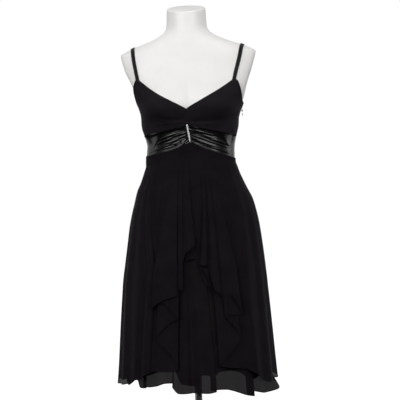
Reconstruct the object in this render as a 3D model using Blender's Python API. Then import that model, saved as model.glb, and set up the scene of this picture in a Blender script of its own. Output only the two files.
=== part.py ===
"""Black cocktail dress on a white limbless dress form with a steel stand.

Metres, +Z up. The dress faces -Y, so the wearer's left is +X. The origin is the
centre of the stand's underside, on the axis of its pole.

Every sheet of cloth is a wall that follows a surface r(theta, z) around the form.
theta is measured from the centre front towards the wearer's left, so theta = 90
degrees is the left side seam and theta = -90 degrees the right side seam.
"""

import math
from collections import namedtuple

import bmesh
import bpy
import numpy as np

# ------------------------------------------------------------------ cloth and seams
SEAM = 0.0003  # gap left between two pieces that meet
SEAM_HALF = SEAM / 2
LAYER_GAP = 0.0005  # gap between one skirt layer and the next
EASE = 0.0012  # gap between the form and the innermost cloth
CHIFFON = 0.0010  # wall of a chiffon or lining panel
BODICE_WALL = 0.0013
BAND_WALL = 0.0032
BINDING_WALL = 0.0019
BINDING_WIDTH = 0.0026
BODICE_REACH = 0.140  # about how far the side seam lies from the axis, at the bodice,
BAND_REACH = 0.112  # at the band
WAIST_REACH = 0.115  # and at the top of the skirt

# ------------------------------------------------------------------ heights
FORM_BOTTOM = 0.600
NECK_STRAIGHT = 1.280  # the neck's rings tilt from here to its cut
NECK_CUT = 1.3200  # middle of the slanted cut
NECK_SLANT = 0.29  # rise of the cut for each metre towards the back
SKIRT_TOP = 0.955  # the skirt's folds start below this height
SHORTEST_HEM = 0.298

# ------------------------------------------------------------------ the form
FormSection = namedtuple("FormSection", "z half front back shift centre power")
FORM = (
    FormSection(0.600, 0.1570, 0.104, 0.112, 0.0000, 0.000, 2.2),
    FormSection(0.640, 0.1600, 0.106, 0.116, 0.0000, 0.000, 2.2),
    FormSection(0.690, 0.1590, 0.106, 0.119, 0.0000, 0.000, 2.2),
    FormSection(0.735, 0.1555, 0.103, 0.118, 0.0000, 0.000, 2.2),
    FormSection(0.770, 0.1490, 0.099, 0.113, 0.0000, 0.000, 2.2),
    FormSection(0.800, 0.1410, 0.095, 0.106, 0.0000, 0.000, 2.2),
    FormSection(0.828, 0.1315, 0.092, 0.099, 0.0000, 0.000, 2.2),
    FormSection(0.850, 0.1240, 0.089, 0.094, 0.0005, 0.000, 2.2),
    FormSection(0.871, 0.1170, 0.087, 0.090, 0.0007, 0.000, 2.2),
    FormSection(0.895, 0.1112, 0.085, 0.088, 0.0007, 0.000, 2.2),
    FormSection(0.922, 0.1098, 0.085, 0.088, 0.0010, 0.000, 2.2),
    FormSection(0.945, 0.1110, 0.087, 0.090, 0.0014, 0.000, 2.2),
    FormSection(0.965, 0.1148, 0.090, 0.094, 0.0017, 0.000, 2.2),
    FormSection(0.985, 0.1215, 0.094, 0.099, 0.0015, 0.001, 2.25),
    FormSection(1.005, 0.1264, 0.098, 0.103, 0.0018, 0.002, 2.3),
    FormSection(1.035, 0.1328, 0.102, 0.108, 0.0040, 0.003, 2.3),
    FormSection(1.060, 0.1430, 0.104, 0.111, 0.0045, 0.005, 2.3),
    FormSection(1.080, 0.1580, 0.103, 0.112, 0.0040, 0.006, 2.3),
    FormSection(1.100, 0.1710, 0.101, 0.112, 0.0035, 0.007, 2.3),
    FormSection(1.120, 0.1800, 0.096, 0.112, 0.0035, 0.008, 2.3),
    FormSection(1.150, 0.1880, 0.087, 0.110, 0.0035, 0.010, 2.3),
    FormSection(1.175, 0.1900, 0.078, 0.106, 0.0035, 0.011, 2.25),
    FormSection(1.192, 0.1870, 0.071, 0.101, 0.0035, 0.012, 2.2),
    FormSection(1.200, 0.1810, 0.068, 0.098, 0.0035, 0.012, 2.1),
    FormSection(1.209, 0.1640, 0.065, 0.095, 0.0035, 0.012, 2.0),
    FormSection(1.219, 0.1390, 0.062, 0.092, 0.0032, 0.012, 2.0),
    FormSection(1.229, 0.1100, 0.058, 0.088, 0.0028, 0.012, 2.0),
    FormSection(1.2375, 0.0900, 0.055, 0.085, 0.0024, 0.012, 2.0),
    FormSection(1.246, 0.0745, 0.052, 0.081, 0.0020, 0.012, 2.0),
    FormSection(1.255, 0.0625, 0.050, 0.076, 0.0018, 0.012, 2.0),
    FormSection(1.266, 0.0560, 0.048, 0.071, 0.0016, 0.011, 2.0),
    FormSection(1.280, 0.0540, 0.047, 0.069, 0.0016, 0.010, 2.0),
    FormSection(1.330, 0.0520, 0.045, 0.065, 0.0016, 0.010, 2.0),
)
ArmCut = namedtuple("ArmCut", "z right left rounding")
ARM_CUTS = (
    ArmCut(1.035, 0.1330, 0.1430, 0.0040),
    ArmCut(1.062, 0.1375, 0.1470, 0.0040),
    ArmCut(1.087, 0.1410, 0.1525, 0.0035),
    ArmCut(1.108, 0.1460, 0.1575, 0.0025),
    ArmCut(1.122, 0.1520, 0.1615, 0.0018),
    ArmCut(1.152, 0.1660, 0.1720, 0.0012),
    ArmCut(1.200, 0.1805, 0.1875, 0.0012),
)
BUST_ANGLE = math.radians(33)
BUST_SPREAD = math.radians(25)
BUST_Z = 1.047
BUST_ABOVE = 0.052
BUST_BELOW = 0.030
BUST_DEPTH = 0.0235
LEAST_SINE = 0.05  # keeps an arm cut's reach finite near the centre line
NORMAL_STEP = 0.0005  # distance over which the form's slopes are read
ARM_CUT_START = 0.020  # height over which the arms' cuts set in
HIP_ROUNDING = 0.0004  # how softly the skirt comes to rest on the hips
FORM_COLUMNS = 32
RingRun = namedtuple("RingRun", "first last count")
FORM_RINGS = (
    RingRun(FORM_BOTTOM, 0.840, 5),
    RingRun(0.870, 0.915, 3),
    RingRun(0.930, 0.990, 5),
    RingRun(1.012, 1.180, 9),
    RingRun(1.194, 1.260, 7),
    RingRun(NECK_STRAIGHT, NECK_CUT, 3),
)

# ------------------------------------------------------------------ waist
WaistRoom = namedtuple("WaistRoom", "z right left")
WAIST_ROOM = (  # how far the cloth stands off the form at the sides, where seams bulk up
    WaistRoom(0.880, 0.0000, 0.0000),
    WaistRoom(0.905, 0.0050, 0.0048),
    WaistRoom(0.918, 0.0052, 0.0050),
    WaistRoom(0.932, 0.0039, 0.0047),
    WaistRoom(0.953, 0.0010, 0.0045),
    WaistRoom(0.974, 0.0010, 0.0045),
    WaistRoom(0.995, 0.0022, 0.0040),
    WaistRoom(1.020, 0.0000, 0.0000),
)
WAIST_ROOM_POWER = 4  # of the angle's sine, which keeps the room at the sides

# ------------------------------------------------------------------ bodice
V_POINT_Z = 1.0410
STRAP_WIDTH = 0.0088
STRAP_WALL = 0.0015
STRAP_LIFT = 0.0010
STRAP_ENDS = (math.radians(-6), math.radians(218))  # bearings of the strap's two ends
STRAP_SWEEP = (math.radians(-35), math.radians(236))  # bearings that surely hold the strap
STRAP_SEARCH = (math.radians(30), math.radians(85))  # angles that surely hold its front end
STRAP_SEARCH_STEPS = 400
ARMHOLE_FALL = math.radians(8)  # how fast the armhole edge drops from the strap
BACK_DIP = 0.008  # how far the back's top edge sinks at the centre
BACK_DIP_POWER = 0.7
NECK_SAG_POWER = 1.3  # moves the neckline's hollow towards the strap
EDGE_PASSES = 6  # rounds in which the neckline's height and its place on the form settle
CupRidge = namedtuple("CupRidge", "z out spread")
CUP_FULL = CupRidge(1.0290, 0.0050, 0.0110)  # the gathers billow over the band
CUP_CREASE = CupRidge(1.0095, -0.0012, 0.0045)  # and are drawn in where they are sewn to it
ZIP_BULGE = CupRidge(1.0520, 0.0030, 0.0140)
CUP_EASE = 0.0012
CUP_SPREAD = math.radians(27)
ZIP_SPREAD = math.radians(17)
BodiceSide = namedtuple("BodiceSide", "strap_x strap_z side_z neck_sag strap_top_x strap_back_x")
LEFT_BODICE = BodiceSide(0.1270, 1.1165, 1.0560, 0.0040, 0.1508, 0.100)
RIGHT_BODICE = BodiceSide(-0.1288, 1.1240, 1.0580, 0.0070, -0.1450, -0.100)
NECK_COLUMNS = 12
ARM_COLUMNS = 9
ARM_CROWDING = 1.4  # power that crowds columns where the armhole falls steeply
BODICE_ROWS = 8
BACK_COLUMNS = 23
BACK_ROWS = 6
STRAP_RINGS = 34
STRAP_TRIES = 240  # points on the bearing sweep from which the strap's rings are read
SHOULDER_PIVOT_Y = 0.012
SHOULDER_PIVOT_Z = 1.130
FARTHEST_REACH = 0.2  # no point of the form lies farther from the pivot, in a plane of one x
HALVINGS = 40

# ------------------------------------------------------------------ midriff band
BandEdge = namedtuple("BandEdge", "centre left right peak_x")
BAND_TOP = BandEdge(0.9990, 0.9720, 0.9770, -0.0022)
BAND_BOTTOM = BandEdge(0.9530, 0.9090, 0.9215, 0.0034)
BAND_DEPTH = 0.092  # how far the band's front lies from the pole's axis
BAND_FOLDS = 5
FOLD_RELIEF = 0.0021
FOLD_FAN = 0.10  # how far the folds spread apart on their way to the side
FOLD_FADE = 0.72  # they melt away past this share of the way
FOLD_UNEVEN = 0.35  # how far the folds stray from even spacing
FOLD_BEAT = 4.0  # and how fast that changes from fold to fold
FOLD_AT_BAR = 0.35  # their relief at the bar, as a share of the deepest
FOLD_SWELL = (1.15, 0.7)  # where along the way they are deepest, and how soon they get there
FOLD_SHARPNESS = 1.3
BAND_COLUMNS = 11
BAND_ROWS = 19
BAND_CROWDING = 1.1  # power that crowds columns at the bar
BAND_BACK_COLUMNS = 21
BAND_BACK_ROWS = 4
BAR_ROWS = 8
BAR_COLUMNS = 5
BAR_WIDTH = 0.0046
BAR_WALL = 0.0024
BAR_OVERHANG = 0.0006  # how far the bar reaches past the band at each end

# ------------------------------------------------------------------ skirt
SkirtSection = namedtuple("SkirtSection", "z right left front back")
SKIRT = (
    SkirtSection(0.290, 0.1850, 0.1850, 0.172, 0.168),
    SkirtSection(0.370, 0.1820, 0.1837, 0.164, 0.160),
    SkirtSection(0.475, 0.1800, 0.1824, 0.152, 0.153),
    SkirtSection(0.585, 0.1760, 0.1798, 0.137, 0.143),
    SkirtSection(0.640, 0.1705, 0.1775, 0.130, 0.137),
    SkirtSection(0.690, 0.1650, 0.1744, 0.123, 0.132),
    SkirtSection(0.735, 0.1600, 0.1704, 0.117, 0.126),
    SkirtSection(0.770, 0.1536, 0.1646, 0.112, 0.120),
    SkirtSection(0.800, 0.1467, 0.1575, 0.107, 0.113),
    SkirtSection(0.828, 0.1400, 0.1449, 0.102, 0.107),
    SkirtSection(0.849, 0.1315, 0.1353, 0.099, 0.102),
    SkirtSection(0.871, 0.1240, 0.1262, 0.095, 0.097),
    SkirtSection(0.892, 0.1169, 0.1193, 0.091, 0.093),
    SkirtSection(0.913, 0.1100, 0.1110, 0.084, 0.086),
    SkirtSection(0.960, 0.1000, 0.1000, 0.070, 0.070),
)
SKIRT_POWER = 2.15
FOLD_GROWTH = 1.35  # power by which the folds deepen down the skirt
LINING_FOLD = 0.004
UNDERSKIRT_FOLD = 0.013
LINING_HEM = 0.350
LINING_DROP = 0.029  # the lining hangs lower in front of the pole, right of centre
LINING_DROP_AT = math.radians(-9)
LINING_DROP_SPREAD = math.radians(8)
LINING_WAVES = 9
LINING_WAVE_SHARE = 0.9  # the lining's waves, as a share of the room kept for them
LINING_COLUMNS = 18
HEM_WAVE = 0.003
UPPER_DROPS = (0.0, 0.026, 0.058, 0.096, 0.140, 0.192)  # rows below the band
CASCADE_DROPS = (0.0, 0.026, 0.058, 0.096, 0.118, 0.140, 0.166, 0.192)
LOWER_SHARES = (0.27, 0.62, 1.0)  # rows from there to the hem

# One row for each turn of the cloth along the hem, from the right seam round the
# front to the left seam: its angle in degrees, how far it stands out in
# millimetres, and the height of the hem there in metres. Where the angle runs
# back, the cloth is folded behind itself.
Turn = namedtuple("Turn", "angle out hem")
OVERLAY_FRONT = (
    Turn(-90.0, 8.0, 0.318),
    Turn(-81.0, 14.0, 0.314),
    Turn(-73.0, 4.0, 0.326),
    Turn(-65.0, 15.0, 0.314),
    Turn(-56.0, 5.0, 0.332),
    Turn(-48.5, 18.0, 0.350),
    Turn(-41.5, 4.0, 0.362),
    Turn(-21.5, 4.0, 0.368),
    Turn(-20.5, 8.5, 0.380),
    Turn(-38.0, 13.5, 0.492),
    Turn(-39.0, 18.0, 0.506),
    Turn(-31.0, 21.5, 0.552),
    Turn(-24.0, 15.5, 0.562),
    Turn(-17.5, 21.0, 0.583),
    Turn(-10.0, 12.5, 0.630),
    Turn(-1.0, 24.0, 0.672),
    Turn(6.0, 20.5, 0.688),
    Turn(6.6, 16.0, 0.690),
    Turn(-5.5, 11.0, 0.652),
    Turn(-6.5, 6.5, 0.645),
    Turn(5.0, 1.5, 0.645),
    Turn(19.5, 2.5, 0.585),
    Turn(20.5, 7.0, 0.578),
    Turn(10.0, 12.5, 0.622),
    Turn(9.0, 17.0, 0.634),
    Turn(14.0, 24.0, 0.630),
    Turn(20.5, 15.0, 0.600),
    Turn(29.0, 22.0, 0.556),
    Turn(40.0, 19.5, 0.482),
    Turn(40.6, 15.0, 0.470),
    Turn(27.0, 8.5, 0.378),
    Turn(26.0, 4.0, 0.368),
    Turn(42.0, 3.5, 0.362),
    Turn(49.0, 18.0, 0.350),
    Turn(57.0, 5.0, 0.332),
    Turn(65.0, 15.0, 0.314),
    Turn(73.0, 4.0, 0.326),
    Turn(81.0, 14.0, 0.314),
    Turn(90.0, 8.0, 0.318),
)
UNDERSKIRT_FRONT = (
    Turn(-90.0, 4.0, 0.334),
    Turn(-80.0, 11.0, 0.331),
    Turn(-73.0, 4.0, 0.332),
    Turn(-64.0, 11.0, 0.334),
    Turn(-48.0, 1.0, 0.322),
    Turn(-36.0, 12.0, 0.321),
    Turn(-24.0, 2.0, 0.331),
    Turn(-10.0, 13.0, 0.306),
    Turn(-1.5, 3.0, 0.306),
    Turn(7.0, 12.0, 0.305),
    Turn(14.0, 4.0, 0.310),
    Turn(26.0, 9.0, 0.311),
    Turn(34.0, 5.0, 0.304),
    Turn(43.0, 13.0, 0.291),
    Turn(49.5, 2.0, 0.299),
    Turn(58.0, 11.0, 0.293),
    Turn(66.0, 3.0, 0.288),
    Turn(76.0, 12.0, 0.289),
    Turn(90.0, 8.0, 0.304),
)
FLICK_OUT = 0.016  # how far the underskirt's hem kicks out at the wearer's left,
FLICK_TOP = 0.326  # from just under the overlay's hem
FLICK_BOTTOM = 0.290  # to its own
FLICK_AT = math.radians(84)
FLICK_SPREAD = math.radians(13)
BACK_FOLDS = 7
BACK_UNEVEN = math.radians(4.0)  # how far the back's folds stray from even spacing
OVERLAY_BACK_OUT = (4.0, 16.0)  # valley and ridge of the back's folds, millimetres
UNDERSKIRT_BACK_OUT = (3.0, 12.0)
OVERLAY_BACK_HEM = 0.320
UNDERSKIRT_BACK_HEM = 0.301
OVERLAY_BACK_DROP = 0.0  # how much lower the back hangs at its middle than at the sides
UNDERSKIRT_BACK_DROP = -0.024
BACK_STRAY = 2.3  # beats at which the back's folds vary: in place,
BACK_BEAT = 1.7  # in depth
BACK_LEAST = 0.64  # down to this share,
BACK_HEM_BEAT = 0.9  # and at the hem
CASCADE_FORMED = 0.625  # height at which the folds beside the opening are complete
SIDE_FORMED = 0.330  # and those at the sides and the back
FOLD_TIP = math.radians(1.4)  # turns closer than this are the two corners of a fold's tip
FOLD_TIP_CLOTH = 0.004  # radians' worth of cloth taken up at each point of a fold
SEAM_SHARE_AT_HEM = 0.6  # the seam's gap in radians at the hem, as a share of that at the waist
CASCADE_EDGES = (math.radians(44), math.radians(60))
SWING_GROWTH = 1.60  # in the cascade, threads swing aside later than they stand out
STAND_GROWTH = 0.80

# ------------------------------------------------------------------ zip
SLIDER_Z = 1.0390
SLIDER_LENGTH = 0.0090
SLIDER_WIDTH = 0.0052
SLIDER_PLATE = 0.0012
EAR_WALL = 0.0006
EAR_INNER = 0.0015
EAR_HEIGHT = 0.0050
EAR_HALF_LENGTH = 0.0013
PIN_RADIUS = 0.0005
PIN_OUT = 0.0039
BARREL_RADIUS = 0.00135
BARREL_BORE = 0.0008
BARREL_HALF = 0.0012
TAB_LENGTH = 0.0145
TAB_HALF_WIDTH = 0.0020
TAB_FLATNESS = 0.55  # the tab's thickness as a share of its width
TAB_SHARES = (0.0, 0.2, 0.5, 0.8, 0.94, 1.0)
TAB_SIDES = 10
TAB_NECK_HALF = 0.0007
TAB_TOP_SHARE = 0.45  # the tab's width at its top, as a share of its widest
TAB_WIDEST = 0.7  # where along its length it is widest
TAB_ROUNDING = 8  # power that rounds its lower end
TAB_END_SHARE = 0.2  # its width at the very end, as a share of its widest

# ------------------------------------------------------------------ stand
BASE_RADIUS = 0.150
BASE_EDGE = 0.004
BASE_CROWN = 0.011
BOSS_RADIUS = 0.021
BOSS_TOP = 0.034
BASE_SEGMENTS = 32
POLE_SEGMENTS = 24
POLE_RADIUS = 0.0097
COLLAR_RADIUS = 0.024
COLLAR_HEIGHT = 0.010
COLLAR_BORE_GAP = 0.0004
COLLAR_BEVEL = 0.002
Turned = namedtuple("Turned", "radius height")
BASE_PROFILE = (
    Turned(BASE_RADIUS - 0.001, 0.0),
    Turned(BASE_RADIUS, 0.001),
    Turned(BASE_RADIUS, BASE_EDGE),
    Turned(BASE_RADIUS - 0.003, BASE_EDGE + 0.002),
    Turned(BASE_RADIUS * 0.55, BASE_CROWN - 0.002),
    Turned(BOSS_RADIUS + 0.006, BASE_CROWN),
    Turned(BOSS_RADIUS, BASE_CROWN + 0.004),
    Turned(BOSS_RADIUS * 0.80, BOSS_TOP - 0.003),
    Turned(BOSS_RADIUS * 0.72, BOSS_TOP),
)
POLE_BOTTOM = BOSS_TOP + SEAM
POLE_TOP = FORM_BOTTOM - SEAM
POLE_PROFILE = (Turned(POLE_RADIUS, POLE_BOTTOM), Turned(POLE_RADIUS, POLE_TOP))
COLLAR_PROFILE = (
    Turned(POLE_RADIUS + COLLAR_BORE_GAP, POLE_TOP),
    Turned(COLLAR_RADIUS, POLE_TOP),
    Turned(COLLAR_RADIUS, POLE_TOP - COLLAR_HEIGHT + COLLAR_BEVEL),
    Turned(COLLAR_RADIUS - COLLAR_BEVEL, POLE_TOP - COLLAR_HEIGHT),
    Turned(POLE_RADIUS + COLLAR_BORE_GAP, POLE_TOP - COLLAR_HEIGHT),
)

# ------------------------------------------------------------------ finishes
Finish = namedtuple("Finish", "color roughness metallic")
CHIFFON_BLACK = Finish((0.012, 0.012, 0.014), 0.85, 0.0)
SATIN_BLACK = Finish((0.016, 0.016, 0.019), 0.35, 0.0)
LINING_BLACK = Finish((0.008, 0.008, 0.009), 0.60, 0.0)
FORM_WHITE = Finish((0.82, 0.82, 0.81), 0.40, 0.0)
STEEL = Finish((0.62, 0.62, 0.62), 0.22, 1.0)
SILVER = Finish((0.80, 0.80, 0.82), 0.15, 1.0)


# ================================================================== small helpers
def column(rows, name, z):
    """A table column at the heights z, as a monotone cubic through the rows."""
    heights = np.array([row.z for row in rows])
    values = np.array([getattr(row, name) for row in rows])
    steps = np.diff(heights)
    slopes = np.diff(values) / steps
    product = slopes[:-1] * slopes[1:]
    total = np.where(product > 0, slopes[:-1] + slopes[1:], 1.0)
    inner = np.where(product > 0, 2.0 * product / total, 0.0)
    tangents = np.concatenate([slopes[:1], inner, slopes[-1:]])
    z = np.clip(z, heights[0], heights[-1])
    i = np.clip(np.searchsorted(heights, z) - 1, 0, len(heights) - 2)
    t = (z - heights[i]) / steps[i]
    rise = values[i + 1] - values[i]
    bend_in = tangents[i] * steps[i]
    bend_out = tangents[i + 1] * steps[i]
    return (
        values[i]
        + bend_in * t
        + (3 * rise - 2 * bend_in - bend_out) * t**2
        + (bend_in + bend_out - 2 * rise) * t**3
    )


def through(points, steps, slack=0.38):
    """A cardinal curve through the rows of points, with steps to each interval."""
    points = np.asarray(points, float)
    before = np.vstack([2 * points[:1] - points[1:2], points[:-1]])
    after = np.vstack([points[1:], 2 * points[-1:] - points[-2:-1]])
    tangents = (after - before) * slack
    t = np.linspace(0, 1, steps, endpoint=False)[None, :, None]
    start, end = points[:-1, None, :], points[1:, None, :]
    lean, land = tangents[:-1, None, :], tangents[1:, None, :]
    curve = (
        (2 * t**3 - 3 * t**2 + 1) * start
        + (t**3 - 2 * t**2 + t) * lean
        + (3 * t**2 - 2 * t**3) * end
        + (t**3 - t**2) * land
    )
    return np.vstack([curve.reshape(-1, points.shape[1]), points[-1:]])


def smooth_least(a, b, rounding):
    """The lesser of a and b, with the corner between them rounded."""
    low = np.minimum(a, b)
    return low - rounding * np.log(np.exp((low - a) / rounding) + np.exp((low - b) / rounding))


def smooth_most(a, b, rounding):
    """The greater of a and b, with the corner between them rounded."""
    return -smooth_least(-a, -b, rounding)


def ease(t):
    """0 to 1 with a level start and end."""
    t = np.clip(t, 0.0, 1.0)
    return t * t * (3 - 2 * t)


# ================================================================== guiding surfaces
def oval_radius(theta, half, front, back, power):
    """Distance from the centre to an oval whose front and back differ in depth."""
    depth = np.where(np.cos(theta) > 0, front, back)
    across = np.abs(np.sin(theta) / half) ** power
    along = np.abs(np.cos(theta) / depth) ** power
    return (across + along) ** (-1 / power)


def form_radius(theta, z):
    """The form's surface: an oval section, the bust, and the flat cuts of the arms."""
    centre = column(FORM, "centre", z)
    radius = oval_radius(
        theta,
        column(FORM, "half", z),
        column(FORM, "front", z) + centre,
        column(FORM, "back", z) - centre,
        column(FORM, "power", z),
    )
    rise = np.where(z > BUST_Z, (z - BUST_Z) / BUST_ABOVE, (z - BUST_Z) / BUST_BELOW)
    turned = np.arctan2(np.sin(theta), np.cos(theta))
    aside = (np.abs(turned) - BUST_ANGLE) / BUST_SPREAD
    radius = radius + BUST_DEPTH * np.exp(-(rise**2) - aside**2)
    shift = column(FORM, "shift", z)
    cut = np.where(
        np.sin(theta) > 0,
        column(ARM_CUTS, "left", z) - shift,
        column(ARM_CUTS, "right", z) + shift,
    )
    reach = cut / np.maximum(np.abs(np.sin(theta)), LEAST_SINE)
    rounding = column(ARM_CUTS, "rounding", z)
    share = ease((z - ARM_CUTS[0].z + ARM_CUT_START) / ARM_CUT_START)
    return radius + share * (smooth_least(radius, reach, rounding) - radius)


def dressed_radius(theta, z):
    """The surface that the cloth lies on: the form's, and its stand-off at the waist's sides."""
    room = np.where(np.sin(theta) > 0, column(WAIST_ROOM, "left", z), column(WAIST_ROOM, "right", z))
    return form_radius(theta, z) + room * np.sin(theta) ** WAIST_ROOM_POWER


def around(theta, z, radius):
    """Points at the given polar radius around the form's own centre line."""
    theta, z, radius = np.broadcast_arrays(theta, z, radius)
    x = column(FORM, "shift", z) + radius * np.sin(theta)
    y = column(FORM, "centre", z) - radius * np.cos(theta)
    return np.stack([x, y, z], axis=-1)


def fold_growth(z):
    """How far the folds have opened at height z: 0 at the waist, 1 at the hem."""
    return np.clip((SKIRT_TOP - z) / (SKIRT_TOP - SHORTEST_HEM), 0, 1) ** FOLD_GROWTH


def skirt_radius(theta, z):
    """The innermost skirt surface: the skirt's own sections, but never inside the form."""
    half = np.where(np.sin(theta) > 0, column(SKIRT, "left", z), column(SKIRT, "right", z))
    cut = oval_radius(
        theta, half, column(SKIRT, "front", z), column(SKIRT, "back", z), SKIRT_POWER
    )
    body = dressed_radius(theta, np.maximum(z, FORM_BOTTOM)) + EASE
    return np.where(z < FORM_BOTTOM, cut, smooth_most(cut, body, HIP_ROUNDING))


def underskirt_base(theta, z):
    """Middle of the underskirt's wall where its folds lie deepest."""
    inside = CHIFFON + LAYER_GAP + CHIFFON / 2
    return skirt_radius(theta, z) + inside + LINING_FOLD * fold_growth(z)


def flicked_base(theta, z):
    """The underskirt's base with the kick of its hem: a bell in angle, eased in height."""
    down = ease((FLICK_TOP - z) / (FLICK_TOP - FLICK_BOTTOM))
    aside = (theta - FLICK_AT) / FLICK_SPREAD
    return underskirt_base(theta, z) + FLICK_OUT * down * np.exp(-(aside**2))


def overlay_base(theta, z):
    """Middle of the overlay's wall where its folds lie deepest."""
    return underskirt_base(theta, z) + CHIFFON + LAYER_GAP + UNDERSKIRT_FOLD * fold_growth(z)


def band_edge(edge, theta):
    """Height of an edge of the midriff band: a peak at the front join, level behind."""
    sine = np.sin(theta)
    side = (edge.left * (1 + sine) + edge.right * (1 - sine)) / 2
    aside = np.sin(theta - edge.peak_x / BAND_DEPTH)
    peak = np.where(np.cos(theta) > 0, 1 - np.abs(aside), 0.0)
    return side + (edge.centre - side) * peak


def join_angle(z):
    """The centre-front join leans: its angle at height z."""
    span = BAND_TOP.centre - BAND_BOTTOM.centre
    share = np.clip((z - BAND_BOTTOM.centre) / span, 0, 1)
    return (BAND_BOTTOM.peak_x + (BAND_TOP.peak_x - BAND_BOTTOM.peak_x) * share) / BAND_DEPTH


def ridge_at(ridge, z):
    """How far a level ridge or crease moves the cloth out at height z."""
    return ridge.out * np.exp(-(((z - ridge.z) / ridge.spread) ** 2))


def cup_fullness(theta, z):
    """How far the gathered cup stands off: full below the bust, creased at its seam."""
    turned = np.arctan2(np.sin(theta), np.cos(theta))
    cup = np.exp(-(((np.abs(turned) - BUST_ANGLE) / CUP_SPREAD) ** 2))
    seam = np.exp(-(((turned - math.pi / 2) / ZIP_SPREAD) ** 2))
    cup_out = ridge_at(CUP_FULL, z) + ridge_at(CUP_CREASE, z) + CUP_EASE
    return cup * cup_out + seam * ridge_at(ZIP_BULGE, z)


# ================================================================== meshes
def material(name, finish):
    """A Principled material, made once for each name."""
    found = bpy.data.materials.get(name)
    if found:
        return found
    made = bpy.data.materials.new(name)
    made.use_nodes = True
    shader = made.node_tree.nodes["Principled BSDF"]
    shader.inputs["Base Color"].default_value = (*finish.color, 1.0)
    shader.inputs["Roughness"].default_value = finish.roughness
    shader.inputs["Metallic"].default_value = finish.metallic
    return made


def place(name, bm, finish, parent):
    """Turns a bmesh into a named, shaded object under its parent."""
    bmesh.ops.recalc_face_normals(bm, faces=bm.faces)
    mesh = bpy.data.meshes.new(name)
    bm.to_mesh(mesh)
    bm.free()
    mesh.shade_smooth()
    mesh.set_sharp_from_angle(angle=math.radians(40))
    mesh.materials.append(material(name + "_finish", finish))
    obj = bpy.data.objects.new(name, mesh)
    bpy.context.scene.collection.objects.link(obj)
    obj.parent = parent
    return obj


def grid_faces(rows, columns, closed=False):
    """Triangles of a grid of rows x columns points, all split along one diagonal."""
    across = np.arange(columns if closed else columns - 1)[None, :]
    first = np.arange(rows - 1)[:, None] * columns + across
    step = np.where(across == columns - 1, 1 - columns, 1)
    corners = np.stack([first, first + step, first + step + columns, first + columns], axis=-1)
    return corners[..., [[0, 1, 2], [0, 2, 3]]].reshape(-1, 3)


def bmesh_of(points, faces):
    """A bmesh with these points and faces."""
    bm = bmesh.new()
    made = [bm.verts.new(point) for point in np.asarray(points, float).reshape(-1, 3)]
    for face in faces:
        bm.faces.new([made[i] for i in face])
    return bm


def wall(name, middle, thickness, finish, parent):
    """A sheet of cloth: a grid of points given a wall.

    The grid's rows run down the cloth and its columns across it. Both faces are
    moved level from the middle by half the thickness, so the heights of the
    edges stay where they are. thickness is a number or a grid of its own.
    """
    down = np.gradient(middle, axis=0)
    runs = np.diff(middle, axis=1)
    runs /= np.linalg.norm(runs[..., :2], axis=-1, keepdims=True)
    first, last = 2 * runs[:, :1] - runs[:, 1:2], 2 * runs[:, -1:] - runs[:, -2:-1]
    runs = np.concatenate([first, runs, last], axis=1)
    level = np.cross(runs[:, :-1] + runs[:, 1:], down)
    level[..., 2] = 0
    level /= np.linalg.norm(level, axis=-1, keepdims=True)
    half = np.broadcast_to(np.asarray(thickness) / 2, middle.shape[:2])[..., None]
    rows, columns = middle.shape[:2]
    faces_apart = np.stack([middle + level * half, middle - level * half])
    points = faces_apart.reshape(-1, 3)
    count = rows * columns
    outer = grid_faces(rows, columns)
    inner = outer[:, ::-1] + count
    border = np.concatenate([
        np.arange(columns),
        np.arange(1, rows) * columns + columns - 1,
        (rows - 1) * columns + np.arange(columns - 2, -1, -1),
        np.arange(rows - 2, 0, -1) * columns,
    ])
    following = np.roll(border, -1)
    rim = np.stack([border + count, following + count, following, border], axis=-1)
    faces = outer.tolist() + inner.tolist() + rim.tolist()
    return place(name, bmesh_of(points, faces), finish, parent)


def rings_solid(name, rings, finish, parent):
    """A closed solid from stacked rings, with a flat fan at each end."""
    rows, columns = rings.shape[:2]
    ends = [rings[0].mean(axis=0), rings[-1].mean(axis=0)]
    points = np.concatenate([rings.reshape(-1, 3), ends])
    faces = grid_faces(rows, columns, closed=True).tolist()
    low, high = rows * columns, rows * columns + 1
    last = (rows - 1) * columns
    for i in range(columns):
        following = (i + 1) % columns
        faces.append([low, following, i])
        faces.append([high, last + i, last + following])
    return place(name, bmesh_of(points, faces), finish, parent)


def turned_rings(profile, segments):
    """Rings about Z, one for each row of the profile."""
    profile = np.asarray(profile, float)
    theta = np.linspace(0, 2 * math.pi, segments, endpoint=False)
    return np.stack([
        profile[:, :1] * np.cos(theta),
        profile[:, :1] * np.sin(theta),
        np.broadcast_to(profile[:, 1:], (len(profile), segments)),
    ], axis=-1)


def turned_solid(name, profile, segments, finish, parent):
    """A solid of revolution about Z, closed by a flat fan at each end."""
    return rings_solid(name, turned_rings(profile, segments), finish, parent)


def turned_tube(name, profile, segments, finish, parent):
    """A solid of revolution whose profile closes on itself around a bore."""
    rings = turned_rings(profile, segments)
    faces = grid_faces(len(profile) + 1, segments, closed=True) % (len(profile) * segments)
    return place(name, bmesh_of(rings, faces.tolist()), finish, parent)


# ================================================================== form and stand
def build_form(parent):
    """The limbless torso with its slanted neck cut and flat arm cuts."""
    theta = np.linspace(0, 2 * math.pi, FORM_COLUMNS, endpoint=False)
    heights = np.concatenate([np.linspace(*run) for run in FORM_RINGS])
    rings = around(theta[None, :], heights[:, None], form_radius(theta[None, :], heights[:, None]))
    tilt = ease((heights - NECK_STRAIGHT) / (NECK_CUT - NECK_STRAIGHT))[:, None]
    middle = column(FORM, "centre", heights)[:, None]
    rings[..., 2] += tilt * NECK_SLANT * (rings[..., 1] - middle)
    return rings_solid("form_torso", rings, FORM_WHITE, parent)


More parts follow.
